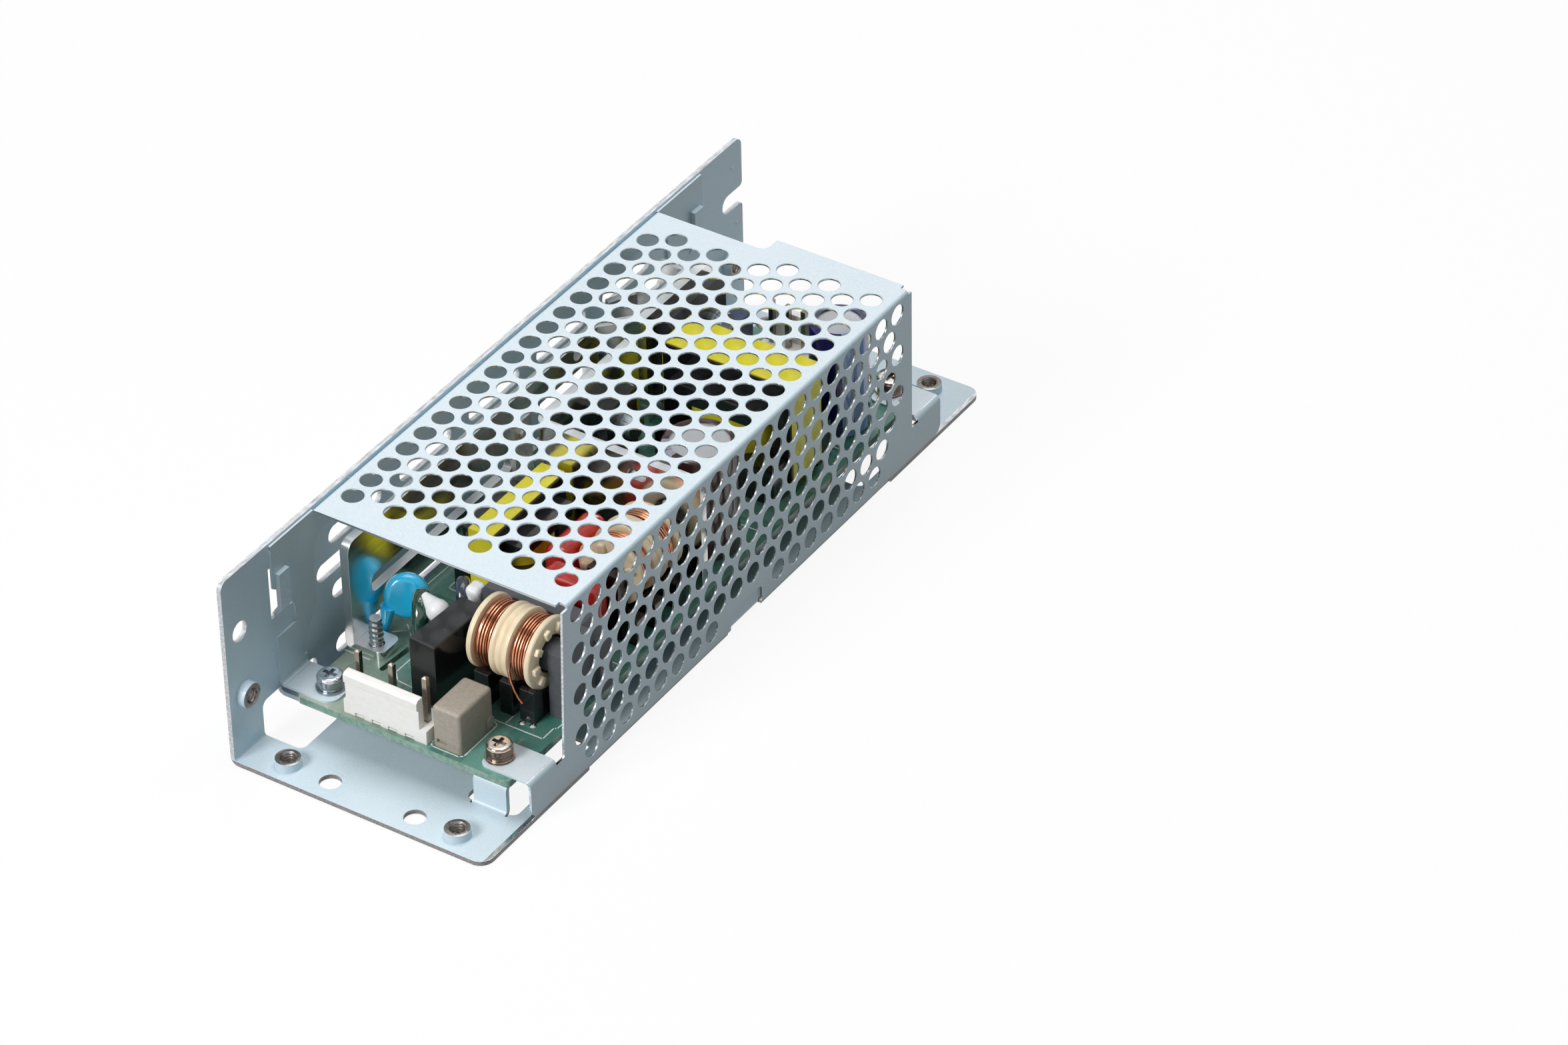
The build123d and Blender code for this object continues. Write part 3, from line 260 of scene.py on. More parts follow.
def aluminium(name):
    """Bright rolled aluminium with long fine scratches; its sawn edges are matt and paler."""
    look = Shader(name)
    lines = look.noise(1.2, detail=5.0, stretch=(1.0, 0.03, 1.0))
    smears = look.noise(9.0, detail=3.0)
    body = look.mix(look.spread(smears, 0.0, 1.0), srgb(210, 210, 208), srgb(234, 234, 232))
    sawn = look.over(look.facing(2), 0.7)
    gloss = look.maths("ADD", look.spread(lines, 0.10, 0.20), look.spread(smears, 0.0, 0.1))
    look.feed(Base_Color=look.mix(sawn, body, srgb(226, 228, 230)),
              Roughness=look.maths("ADD", gloss, look.maths("MULTIPLY", sawn, 0.25)),
              Metallic=1.0)
    look.relief(lines, 0.003, rounding=0.15)
    return look


def chrome(name, warm_reflection_side=False):
    """Polished plating: bands that follow the surface's tilt are a painted reflection of a dark and
    a white room.
    """
    look = Shader(name)
    normal = look.node("ShaderNodeNewGeometry").outputs["Normal"]
    rise = look.axis(2, normal)
    tilt = look.maths("ADD", rise, look.spread(look.noise(1.3), -0.12, 0.12))

    def reflection_bands(*stops):
        ramp = look.node("ShaderNodeValToRGB")
        for place, colour in stops[2:]:
            ramp.color_ramp.elements.new(place)
        for element, (place, colour) in zip(ramp.color_ramp.elements, stops):
            element.position = place
            element.color = srgb(*colour)
        look.link(tilt, ramp.inputs["Fac"])
        return ramp.outputs["Color"]

    # Painted reflection: bands of a dark and a white room, by the surface's tilt
    tone = reflection_bands((0.0, (150, 158, 162)), (0.16, (128, 135, 139)), (0.3, (222, 227, 230)),
                 (0.62, (160, 170, 176)), (0.8, (226, 232, 236)), (1.0, (190, 202, 212)))
    # Painted reflection: warmer bands on the parts right of the middle
    if warm_reflection_side:
        warm_reflection = reflection_bands((0.0, (122, 104, 92)), (0.14, (58, 44, 36)), (0.3, (228, 220, 214)),
                     (0.5, (168, 144, 130)), (0.72, (120, 92, 78)), (0.93, (230, 222, 216)))
        tone = look.mix(look.over(look.axis(0), 0.0), tone, warm_reflection)
    # The joints between head and washers lie in shade
    upright_shade = look.under(look.maths("ABSOLUTE", rise), 0.5)
    for joint in SCREW_JOINTS:
        distance = look.maths("ABSOLUTE", look.maths("SUBTRACT", look.axis(2), joint * MM))
        shaded = look.all_of(look.under(distance, 0.09 * MM), upright_shade)
        tone = look.mix(shaded, tone, srgb(40, 34, 32))
    look.feed(Base_Color=tone, Roughness=look.spread(look.noise(0.8), 0.12, 0.24), Metallic=0.85)
    look.relief(look.noise(0.4), 0.003, rounding=0.1)
    return look


def enamelled_wire(name, axis):
    """Copper under clear enamel; the flanks of each turn, which face along the coil, get a painted
    shade.
    """
    look = Shader(name)
    normal = look.node("ShaderNodeNewGeometry").outputs["Normal"]
    along = look.maths("ABSOLUTE", look.axis(axis, normal))
    tone = look.spread(look.noise(2.5), 0.0, 1.0)
    crown = look.mix(tone, srgb(222, 140, 102), srgb(250, 190, 154))
    # Painted shade on the flanks of each turn, where neighbouring turns meet
    painted_flank_shade = look.spread(along, 0.0, 1.0, 0.25, 0.85)
    look.feed(Base_Color=look.mix(painted_flank_shade, crown, srgb(132, 66, 38)),
              Roughness=look.spread(look.noise(1.0), 0.16, 0.26), Metallic=0.9)
    return look


def circuit(name):
    """Glass-epoxy board under a green mask: copper fields show darker, the front left paler."""
    look = Shader(name)
    fields = look.node("ShaderNodeTexVoronoi", feature="F1", distance="CHEBYCHEV")
    fields.inputs["Scale"].default_value = 1 / (9.0 * MM)
    fields.inputs["Randomness"].default_value = 0.8
    look.link(look.place, fields.inputs["Vector"])
    copper = look.spread(look.axis(0, fields.outputs["Color"]), 0.0, 1.0, 0.45, 0.5)
    mask = look.mix(copper, srgb(98, 152, 140), srgb(64, 126, 114))
    face = look.mix(look.spread(look.noise(6.0), 0.0, 0.35), mask, srgb(118, 150, 136))
    # Towards the front left the board turns paler and greyer
    reach = look.maths("ADD", look.axis(0), look.maths("MULTIPLY", look.axis(1), 0.7))
    paler_front_left = look.spread(reach, 1.0, 0.0, -0.072, -0.044)
    face = look.mix(paler_front_left, face, srgb(168, 178, 164))
    grain = look.spread(look.noise(1.2), 0.0, 1.0)
    rim = look.mix(grain, srgb(100, 142, 128), srgb(150, 176, 158))
    look.feed(Base_Color=look.mix(look.under(look.facing(2), 0.5), face, rim),
              Roughness=look.spread(look.noise(2.0), 0.22, 0.34), Coat_Weight=0.3,
              Subsurface_Weight=0.15, Subsurface_Scale=1.5 * MM)
    look.relief(look.noise(0.5), 0.004, rounding=0.1)
    return look


def printed_sleeve(name, centre, colour, stripe, arc, lines):
    """A shrink sleeve with a stripe down an arc of bearings, less some lines; degrees from +X."""
    look = Shader(name)
    x = look.maths("SUBTRACT", look.axis(0), centre.x * MM)
    y = look.maths("SUBTRACT", look.axis(1), centre.y * MM)
    bearing = look.maths("ARCTAN2", y, x)

    def between(low, high):
        return look.all_of(look.over(bearing, math.radians(low)),
                           look.under(bearing, math.radians(high)))

    printed = between(*arc)
    for line in lines:
        printed = look.all_of(printed, look.maths("SUBTRACT", 1.0, between(*line)))
    plain = look.mix(look.spread(look.noise(3.0), 0.0, 1.0), shade(colour, 0.85), colour)
    look.feed(Base_Color=look.mix(printed, plain, stripe),
              Roughness=look.spread(look.noise(1.5), 0.14, 0.24), Coat_Weight=0.5)
    look.relief(look.noise(2.5, stretch=(1.0, 1.0, 0.3)), 0.03)
    return look


# The second colour of each steel is the painted shade of its faces along X
CHASSIS_STEEL = sheet_steel("chassis_steel", srgb(206, 222, 231), (0.88, 0.97, 1.0, 1.0))
COVER_STEEL = sheet_steel("cover_steel", srgb(214, 226, 233), (0.72, 0.83, 0.86, 1.0))
ALUMINIUM = aluminium("bright_aluminium")
BOARD_GREEN = circuit("board_green")
# Both plated finishes carry a painted reflection in their colour, the screws' one warmer on the
# right
PLATED = chrome("plated_steel")
SCREW_PLATED = chrome("screw_plating", warm_reflection_side=True)
THREAD_STEEL = finish("thread_steel", srgb(132, 126, 122), 0.3, metal=0.85, vary=0.2, grain=0.5,
                      relief=0.004)
STRIP_STEEL = finish("strip_steel", srgb(212, 210, 208), 0.35, metal=0.7, vary=0.14, grain=1.0,
                     relief=0.01)
PIN_METAL = finish("tinned_pin", srgb(150, 142, 132), 0.24, metal=1.0, vary=0.1, grain=0.6,
                   relief=0.004, rounding=0.12)
SOLDER = finish("solder", srgb(198, 200, 202), 0.22, metal=1.0, grain=0.8, relief=0.02)
CAN = finish("can_aluminium", srgb(206, 208, 212), 0.36, metal=0.7, vary=0.05, grain=0.3,
             relief=0.008, relief_grain=0.25)
NYLON = finish("white_nylon", srgb(250, 247, 242), 0.42, vary=0.03, relief=0.006, soft=0.25,
               rounding=0.22)
CREAM = finish("cream_nylon", srgb(252, 232, 200), 0.4, vary=0.05, grain=2.0, relief=0.012,
               soft=0.2)
FUSE_GREY = finish("fuse_grey", srgb(166, 157, 144), 0.42, vary=0.1, grain=0.7, relief=0.02,
                   relief_grain=0.7, rounding=0.2)
BLACK = finish("black_plastic", srgb(30, 31, 34), 0.26, vary=0.25, grain=1.8, relief=0.01,
               rounding=0.25)
LIMB_BLACK = finish("limb_black", srgb(26, 26, 29), 0.16, vary=0.2, grain=2.0, relief=0.02,
                    relief_grain=1.5, coat=0.5, rounding=0.4)
GLOSS_BLACK = finish("gloss_black", srgb(24, 25, 28), 0.2, grain=2.0, relief=0.012,
                     relief_grain=1.2, coat=0.3, rounding=0.3, spread=0.03)
FERRITE = finish("ferrite", srgb(84, 86, 92), 0.55, vary=0.12, grain=0.8, relief=0.01,
                 rounding=0.25)
BOX_BLUE = finish("box_blue", srgb(48, 66, 96), 0.3, vary=0.1, relief=0.01, rounding=0.3)
RED_DIP = finish("red_dip", srgb(206, 42, 30), 0.16, vary=0.1, grain=4.0, relief=0.05,
                 relief_grain=3.0, coat=0.8)
BLUE_DIP = finish("blue_dip", srgb(24, 196, 248), 0.16, grain=3.0, relief=0.04, relief_grain=2.5,
                  coat=0.8)
GREEN_DIP = finish("dark_green_dip", srgb(22, 62, 50), 0.14, vary=0.2, grain=3.0, relief=0.04,
                   relief_grain=2.5, coat=0.8)
NAVY_DIP = finish("dark_blue_dip", srgb(44, 52, 70), 0.2, vary=0.15, grain=3.0, relief=0.03,
                  relief_grain=2.5, coat=0.6)
YELLOW = finish("yellow_tape", srgb(255, 240, 50), 0.26, vary=0.05, grain=3.0, relief=0.03,
                relief_grain=4.0, coat=0.25, rounding=0.2)
SILICONE = finish("white_silicone", srgb(240, 241, 243), 0.35, vary=0.03, relief=0.15,
                  relief_grain=1.2, soft=0.2)
INK = finish("silkscreen_ink", srgb(232, 238, 232), 0.5, vary=0.05, grain=0.6, relief=0.004)
WIRE_ACROSS = enamelled_wire("enamelled_copper_across", 0)
WIRE_ALONG = enamelled_wire("enamelled_copper_along", 1)
BROWN_SLEEVE = printed_sleeve("brown_sleeve", on_board(39.5, 82.8), srgb(74, 42, 38),
                              srgb(176, 178, 196), arc=(-152.0, -104.0),
                              lines=((-134.0, -132.0), (-122.0, -120.0)))
BLUE_SLEEVE = printed_sleeve("blue_sleeve", on_board(41.0, 131.6), srgb(38, 36, 104),
                             srgb(150, 176, 222), arc=(-52.0, 8.0), lines=((-30.0, -28.0),))


def dress(look, *names):
    """Give CAD solids a finish."""
    for name in names:
        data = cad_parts[name].data
        data.materials.clear()
        data.materials.append(look.material)


dress(CHASSIS_STEEL, "chassis")
dress(COVER_STEEL, "cover")
dress(ALUMINIUM, "main_heatsink", "second_heatsink", "wall_bracket")
dress(BOARD_GREEN, "circuit_board")
dress(SCREW_PLATED, "board_screws", "flat_washers", "spring_washers")
dress(PLATED, "package_screws")
dress(STRIP_STEEL, "steel_strip")
dress(NYLON, "input_header", "output_header")
dress(PIN_METAL, "input_header_pins", "output_header_pins")
dress(FUSE_GREY, "fuse")
dress(BLACK, "rectifier", "transistor")
dress(LIMB_BLACK, "choke_1_base", "choke_2_base", "transformer_bobbin", "inductor_bobbin",
      "transformer_core", "inductor_core")
dress(GLOSS_BLACK, "x_capacitor", "choke_2_core")
dress(FERRITE, "choke_1_core")
dress(BOX_BLUE, "box_capacitor")
dress(GREEN_DIP, "surge_disc")
dress(BLUE_DIP, "y_capacitor")
dress(NAVY_DIP, "dark_disc")
dress(RED_DIP, "film_capacitor_front", "film_capacitor_side")
dress(CREAM, "choke_1_bobbin", "choke_2_bobbin")
dress(WIRE_ACROSS, "choke_1_windings")
dress(WIRE_ALONG, "choke_2_windings")
dress(YELLOW, "transformer_winding", "transformer_tape", "inductor_winding", "inductor_tape")
dress(CAN, "bulk_capacitor_can", "output_capacitor_can")
dress(BROWN_SLEEVE, "bulk_capacitor_sleeve")
dress(BLUE_SLEEVE, "output_capacitor_sleeve")
dress(SILICONE, "silicone")


# Shapes
def directions(axis):
    """An axis as a unit vector, with two more that stand square to it."""
    axis = Vector(axis).normalized()
    side = axis.orthogonal().normalized()
    return axis, side, axis.cross(side)


class Shape:
    """A mesh in millimetres, grown from rounded boxes, turned profiles, tubes and flat lines."""

    def __init__(self):
        self.bm = bmesh.new()

    def box(self, low, high, radius=0.3, segments=3):
        corners = bmesh.ops.create_cube(self.bm, size=1.0)["verts"]
        for vert in corners:
            vert.co = Vector([(a + b) / 2 + c * abs(b - a) for a, b, c in zip(low, high, vert.co)])
        edges = list({edge for vert in corners for edge in vert.link_edges})
        bmesh.ops.bevel(self.bm, geom=edges, offset=radius, segments=segments, profile=0.5,
                        affect="EDGES", clamp_overlap=True)
        return self

    def turned(self, profile, centre, axis, count=48, wobble=None):
        """A profile of (radius, distance) points round an axis; wobble changes each point."""
        axis, side, other = directions(axis)
        rings = []
        for radius, distance in profile:
            ring = []
            for i in range(count if radius > 0 else 1):
                angle = 2 * math.pi * i / count
                out = side * math.cos(angle) + other * math.sin(angle)
                r, d = wobble(radius, distance, angle) if wobble else (radius, distance)
                ring.append(self.bm.verts.new(Vector(centre) + axis * d + out * r))
            rings.append(ring)
        for one, two in zip(rings, rings[1:]):
            for i in range(count):
                j = (i + 1) % count
                corners = [one[i % len(one)], one[j % len(one)],
                           two[j % len(two)], two[i % len(two)]]
                corners = list(dict.fromkeys(corners))
                if len(corners) > 2:
                    self.bm.faces.new(corners)
        return self

    def tube(self, points, radius, sides=8):
        """A round wire along points, closed at both ends."""
        points = [Vector(p) for p in points]
        rings = []
        normal = None
        for i, point in enumerate(points):
            after, before = points[min(i + 1, len(points) - 1)], points[max(i - 1, 0)]
            along = (after - before).normalized()
            normal = along.orthogonal() if normal is None else normal - along * normal.dot(along)
            normal.normalize()
            other = along.cross(normal)
            ring = []
            for k in range(sides):
                angle = 2 * math.pi * k / sides
                out = normal * math.cos(angle) + other * math.sin(angle)
                ring.append(self.bm.verts.new(point + out * radius))
            rings.append(ring)
        for one, two in zip(rings, rings[1:]):
            for k in range(sides):
                j = (k + 1) % sides
                self.bm.faces.new([one[k], one[j], two[j], two[k]])
        self.bm.faces.new(list(reversed(rings[0])))
        self.bm.faces.new(rings[-1])
        return self

    def line(self, points, width, z, height=0.03):
        """A printed line through x and y points, from a height up."""
        for a, b in zip(points, points[1:]):
            a, b = Vector((*a, z)), Vector((*b, z))
            along = (b - a).normalized() * width / 2
            side = Vector((-along.y, along.x, 0.0))
            outline = [a - along - side, b + along - side, b + along + side, a - along + side]
            near = [self.bm.verts.new(corner) for corner in outline]
            far = [self.bm.verts.new(corner + Vector((0.0, 0.0, height))) for corner in outline]
            self.bm.faces.new(list(reversed(near)))
            self.bm.faces.new(far)
            for i in range(4):
                j = (i + 1) % 4
                self.bm.faces.new([near[i], near[j], far[j], far[i]])
        return self

    def piece(self, name, look, slot, *replaced, angle=38.0):
        """Make the object, let it ride on the unit's one body, and hide the solids it replaces."""
        bmesh.ops.recalc_face_normals(self.bm, faces=self.bm.faces)
        bmesh.ops.scale(self.bm, vec=(MM, MM, MM), verts=self.bm.verts)
        data = bpy.data.meshes.new(name)
        self.bm.to_mesh(data)
        self.bm.free()
        data.polygons.foreach_set("use_smooth", [True] * len(data.polygons))
        data.set_sharp_from_angle(angle=math.radians(angle))
        data.materials.append(look.material)
        obj = bpy.data.objects.new(name, data)
        bpy.context.scene.collection.objects.link(obj)
        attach(obj, "root")
        if replaced:
            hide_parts(*replaced)
        return obj


# Cover with round holes
def top_holes():
    """Centres in the cover's top, as x and y."""
    points = []
    for row in range(STEPS_ALONG):
        for column in range(TOP_STEPS_ACROSS):
            x, y = TOP_FIRST[0] + ACROSS * column, TOP_FIRST[1] + ALONG * row
            back = COVER_BACK_LEFT if x < COVER_STEP_X else COVER_BACK_RIGHT
            if (row + column) % 2 == 0 and x < TOP_LAST_X and y <= back - REAR_MARGIN:
                points.append((x, y))
    return points


def side_holes():
    """Centres in the cover's side, as y and z, clear of the notch and the rear foot."""
    notch_middle = (NOTCH_FRONT + NOTCH_BACK) / 2
    notch_reach = (NOTCH_BACK - NOTCH_FRONT) / 2 + NOTCH_MARGIN
    points = []
    for row in range(SIDE_STEPS_ACROSS):
        for column in range(STEPS_ALONG):
            y, z = SIDE_FIRST[0] + ALONG * column, SIDE_FIRST[1] - ACROSS * row
            at_notch = z < NOTCH_TOP + NOTCH_MARGIN and abs(y - notch_middle) < notch_reach
            at_foot = z < FOOT_FREE_Z and y > FOOT_FREE_Y
            if (row + column) % 2 == 0 and y <= SIDE_LAST_Y and not at_notch and not at_foot:
                points.append((y, z))
    return points


def arc(centre, radius, start, end, steps=6):
    """Points of an arc from one bearing to another, in degrees."""
    bearings = [math.radians(start + (end - start) * i / steps) for i in range(steps + 1)]
    return [(centre[0] + radius * math.cos(b), centre[1] + radius * math.sin(b)) for b in bearings]


def circle(centre, radius, count=28):
    bearings = [2 * math.pi * i / count for i in range(count)]
    return [(centre[0] + radius * math.cos(b), centre[1] + radius * math.sin(b)) for b in bearings]


def inside(outline, a, b):
    """Whether a point lies within a closed outline."""
    result = False
    for (a1, b1), (a2, b2) in zip(outline, outline[1:] + outline[:1]):
        if (b1 > b) != (b2 > b) and a < a1 + (b - b1) * (a2 - a1) / (b2 - b1):
            result = not result
    return result


def filled(outline, centres, radius):
    """Triangles of a flat outline with round holes."""
    loops = [outline] + [circle(centre, radius) for centre in centres]
    points, edges = [], []
    for loop in loops:
        start = len(points)
        points += [Vector(p) for p in loop]
        edges += [(start + i, start + (i + 1) % len(loop)) for i in range(len(loop))]
    verts, _, faces, *_ = geometry.delaunay_2d_cdt(points, edges, [], 0, 1e-5)
    near = kdtree.KDTree(len(centres))
    for i, (a, b) in enumerate(centres):
        near.insert((a, b, 0.0), i)
    near.balance()
    kept = []
    for face in faces:
        a = sum(verts[i].x for i in face) / 3
        b = sum(verts[i].y for i in face) / 3
        if near.find((a, b, 0.0))[2] > radius * 0.99 and inside(outline, a, b):
            kept.append(face)
    return verts, kept


def panel(shape, outline, centres, place, free_edges):
    """A perforated sheet: two filled faces, the walls and rolled rims of its holes, free edges.

    place turns two coordinates in the sheet and a depth below its outer face into a point.
    """
    wide, narrow = HOLE / 2 + HOLE_RIM, HOLE / 2
    wall = ((wide, 0.0), (narrow, HOLE_RIM), (narrow, COVER_SHEET - HOLE_RIM), (wide, COVER_SHEET))
    verts, faces = filled(outline, centres, wide)
    for depth, flip in ((0.0, False), (COVER_SHEET, True)):
        made = [shape.bm.verts.new(place(a, b, depth)) for a, b in verts]
        for face in faces:
            corners = [made[i] for i in face]
            shape.bm.faces.new(list(reversed(corners)) if flip else corners)
    for centre in centres:
        rings = []
        for radius, depth in wall:
            ring = [place(a, b, depth) for a, b in circle(centre, radius)]
            rings.append([shape.bm.verts.new(point) for point in ring])
        for one, two in zip(rings, rings[1:]):
            for i in range(len(one)):
                j = (i + 1) % len(one)
                shape.bm.faces.new([one[i], one[j], two[j], two[i]])
    for i, j in free_edges:
        a, b = outline[i], outline[j]
        corners = [place(*a, 0.0), place(*b, 0.0), place(*b, COVER_SHEET), place(*a, COVER_SHEET)]
        shape.bm.faces.new([shape.bm.verts.new(c) for c in corners])


def rest_of_cover(shape):
    """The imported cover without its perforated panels: flange, legs, feet, tabs and folds."""
    under_top, inside_side = COVER_TOP - COVER_SHEET, COVER_RIGHT - COVER_SHEET
    skin, slack = 0.01, 0.05
    past_side = (-64.3, 63.7)  # just past the side's two ends, above the feet
    rest = bmesh.new()
    rest.from_mesh(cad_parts["cover"].data)
    bmesh.ops.scale(rest, vec=(1 / MM,) * 3, verts=rest.verts)
    cuts = ((0, SEAM_LEFT), (0, SEAM_RIGHT), (0, inside_side - skin), (2, SEAM_HEIGHT),
            (2, under_top - skin), (2, FOOT_TOP), (1, FEET_FRONT), (1, FEET_BACK))
    for axis, distance in cuts:
        normal = Vector([float(i == axis) for i in range(3)])
        bmesh.ops.bisect_plane(rest, geom=rest.verts[:] + rest.edges[:] + rest.faces[:],
                               plane_co=normal * distance, plane_no=normal, dist=1e-4)
    gone = []
    for face in rest.faces:
        x, y, z = face.calc_center_median()
        front, back = (FEET_FRONT, FEET_BACK) if z < FOOT_TOP else past_side
        in_top = SEAM_LEFT < x < SEAM_RIGHT and z > under_top - slack
        in_side = x > inside_side - slack and z < SEAM_HEIGHT and front < y < back
        if in_top or in_side:
            gone.append(face)
    bmesh.ops.delete(rest, geom=gone, context="FACES")
    made = {}
    for vert in rest.verts:
        if vert.link_faces:
            made[vert] = shape.bm.verts.new(vert.co)
    for face in rest.faces:
        shape.bm.faces.new([made[v] for v in face.verts])
    rest.free()


def perforated_cover():
    """The whole cover: two perforated panels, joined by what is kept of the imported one."""
    shape = Shape()
    relief_x, relief = 28.1, 1.2  # corners cut out of the top beside its fold
    step, corner = 2.0, 1.0  # radii at the top's rear step and in the notch
    front, back = COVER_FRONT, COVER_BACK_RIGHT
    top = [(SEAM_LEFT, front), (relief_x, front), (relief_x, front + relief),
           (SEAM_RIGHT, front + relief), (SEAM_RIGHT, back - relief), (relief_x, back - relief),
           (relief_x, back), (COVER_STEP_X, back)]
    top += arc((COVER_STEP_X - step, COVER_BACK_LEFT + step), step, 0, -90)
    top.append((SEAM_LEFT, COVER_BACK_LEFT))
    seams = (3, len(top) - 1)
    free = [(i, (i + 1) % len(top)) for i in range(len(top)) if i not in seams]
    panel(shape, top, top_holes(), lambda a, b, depth: Vector((a, b, COVER_TOP - depth)), free)

    side = [(-61.5, SEAM_HEIGHT), (-62.9, FOOT_TOP), (FEET_FRONT, FOOT_TOP),
            (FEET_FRONT, BASE_TOP), (NOTCH_FRONT, BASE_TOP)]
    side += arc((NOTCH_FRONT + corner, NOTCH_TOP - corner), corner, 180, 90)
    side += arc((NOTCH_BACK - corner, NOTCH_TOP - corner), corner, 90, 0)
    side += [(NOTCH_BACK, BASE_TOP), (FEET_BACK, BASE_TOP), (FEET_BACK, FOOT_TOP),
             (COVER_BACK_RIGHT, FOOT_TOP), (COVER_BACK_RIGHT, SEAM_HEIGHT)]
    seams = (2, len(side) - 4)
    free = [(i, i + 1) for i in range(len(side) - 1) if i not in seams]
    panel(shape, side, side_holes(), lambda a, b, depth: Vector((COVER_RIGHT - depth, a, b)), free)
    rest_of_cover(shape)
    shape.piece("perforated_cover", COVER_STEEL, "steel_sheet", "cover", angle=35.0)


# Chokes: beaded bobbins with wiring pegs, and wound wire
def beaded_bobbin(name, centre, axis, length, pegs_at_end):
    """A turned former: rounded end flanges, beads between the windings, pegs on one flange."""
    half = length / 2
    flange = [(4.0, 0.0), (7.3, 0.0), (7.6, 0.25), (7.65, 0.7), (7.5, 1.2), (7.1, 1.3), (4.6, 1.3)]
    beads = [(4.6, -2.2), (7.1, -2.2), (7.5, -2.0), (7.6, -1.5), (7.45, -1.0), (7.0, -0.8),
             (7.4, -0.5), (7.5, 0.0), (7.4, 0.5), (7.0, 0.8), (7.45, 1.0), (7.6, 1.5), (7.5, 2.0),
             (7.1, 2.2), (4.6, 2.2)]
    profile = flange + [(r, half + d) for r, d in beads]
    profile += [(r, length - d) for r, d in reversed(flange)]
    shape = Shape().turned(profile, centre, axis, count=72)
    axis, side, other = directions(axis)
    root = Vector(centre) + axis * ((length if pegs_at_end > 0 else 0.0) - 0.2 * pegs_at_end)
    pegs, first, ring = 9, 20.0, 5.6
    for i in range(pegs):
        angle = math.radians(first + 360.0 / pegs * i)
        out = side * math.cos(angle) + other * math.sin(angle)
        across = axis.cross(out)
        start = len(shape.bm.verts)
        shape.box((-0.95, -0.75, -0.2), (0.95, 0.75, 1.15), radius=0.22, segments=2)
        shape.bm.verts.ensure_lookup_table()
        for vert in shape.bm.verts[start:]:
            a, b, c = vert.co
            vert.co = root + out * (ring + a) + across * b + axis * pegs_at_end * c
    shape.piece(f"{name}_former", CREAM, "cream_nylon", f"{name}_bobbin", angle=50.0)


def wound_wire(name, look, centre, axis, length):
    """Two wound sections of thick enamelled wire, with a few turns that cross the layer below."""
    flange, section, wire, per_turn = 1.35, 3.85, 0.31, 48
    layers = ((6.2, 5.0, 0.32, 3.2), (6.58, 3.0, 0.75, 1.95))  # radius, turns, start and width
    shape = Shape()
    direction, side, other = directions(axis)
    for start in (flange, length - flange - section):
        below = [(4.6, start), (6.0, start), (6.0, start + section), (4.6, start + section)]
        shape.turned(below, centre, axis, per_turn)
        for radius, turns, offset, width in layers:
            points = []
            steps = int(turns * per_turn)
            for i in range(steps + 1):
                angle = 2 * math.pi * i / per_turn
                out = side * math.cos(angle) + other * math.sin(angle)
                drift = 0.07 * math.sin(angle + start) if radius == layers[-1][0] else 0.0
                along = start + offset + width * i / steps + drift
                points.append(Vector(centre) + out * radius + direction * along)
            shape.tube(points, wire)
    shape.piece(f"{name}_wire", look, "copper_wire", f"{name}_windings", angle=80.0)


# Small things on the board and the chassis
def printed_lines():
    """White outlines printed on the board."""
    runs = (
        ((-0.4, 16.6), (5.4, 16.6)),
        ((18.9, 13.8), (13.9, 14.2), (12.1, 16.2), (12.3, 30.5)),
        ((4.0, 26.1), (6.7, 28.3)),
        ((5.2, 29.6), (8.1, 26.9)),
        ((1.0, 36.0), (1.5, 66.0)),
        ((5.4, 60.0), (5.3, 43.5), (8.6, 43.1)),
        ((30.6, 3.4), (30.6, 2.0), (31.3, 1.3), (37.6, 1.3), (38.3, 2.0), (38.3, 12.9),
         (37.8, 13.6), (37.0, 13.6)),
        ((36.9, 14.2), (48.1, 14.3), (48.1, 18.2), (48.7, 18.3), (48.9, 22.0)),
        ((39.3, 14.2), (39.4, 20.6)),
        ((44.6, 41.0), (47.9, 41.0), (47.9, 46.0)),
        ((13.0, 104.0), (13.0, 117.0), (15.2, 117.0)),
        ((12.2, 137.5), (12.2, 146.0), (13.8, 148.4), (39.2, 148.4), (39.2, 139.5),
         (16.0, 139.5)),
        ((33.2, 124.6), (34.2, 123.2), (48.2, 123.2)),
        ((31.0, 74.0), (31.0, 91.4), (48.2, 91.4)),
    )
    width, sunk = 0.28, 0.01
    shape = Shape()
    for run in runs:
        shape.line([on_board(*point)[:2] for point in run], width, BOARD.z - sunk)
    shape.piece("printed_lines", INK, "white_nylon")


def thread(shape, centre, axis, length, radius, pitch, depth, taper=0.0, skin=None):
    """A threaded rod, or a threaded bore inside a skin of a radius."""
    steps = int(length / (pitch / 8))

    def wobble(r, d, angle):
        if abs(r - radius) > 1e-6:
            return r, d
        phase = (d / pitch + angle / (2 * math.pi)) % 1.0
        crest = 1.0 - abs(2.0 * phase - 1.0)
        narrow = taper * max(0.0, d / length - 0.6)
        return (r + depth * crest if skin else r - depth * (1.0 - crest)) - narrow, d

    profile = [(radius, length * i / steps) for i in range(steps + 1)]
    if skin:
        profile = [(skin, 0.0)] + profile + [(skin, length), (skin, 0.0)]
    else:
        tip = radius - 0.45 - taper * 0.4
        profile = [(0.0, 0.0)] + profile + [(tip, length), (0.0, length)]
    shape.turned(profile, centre, axis, 32, wobble)


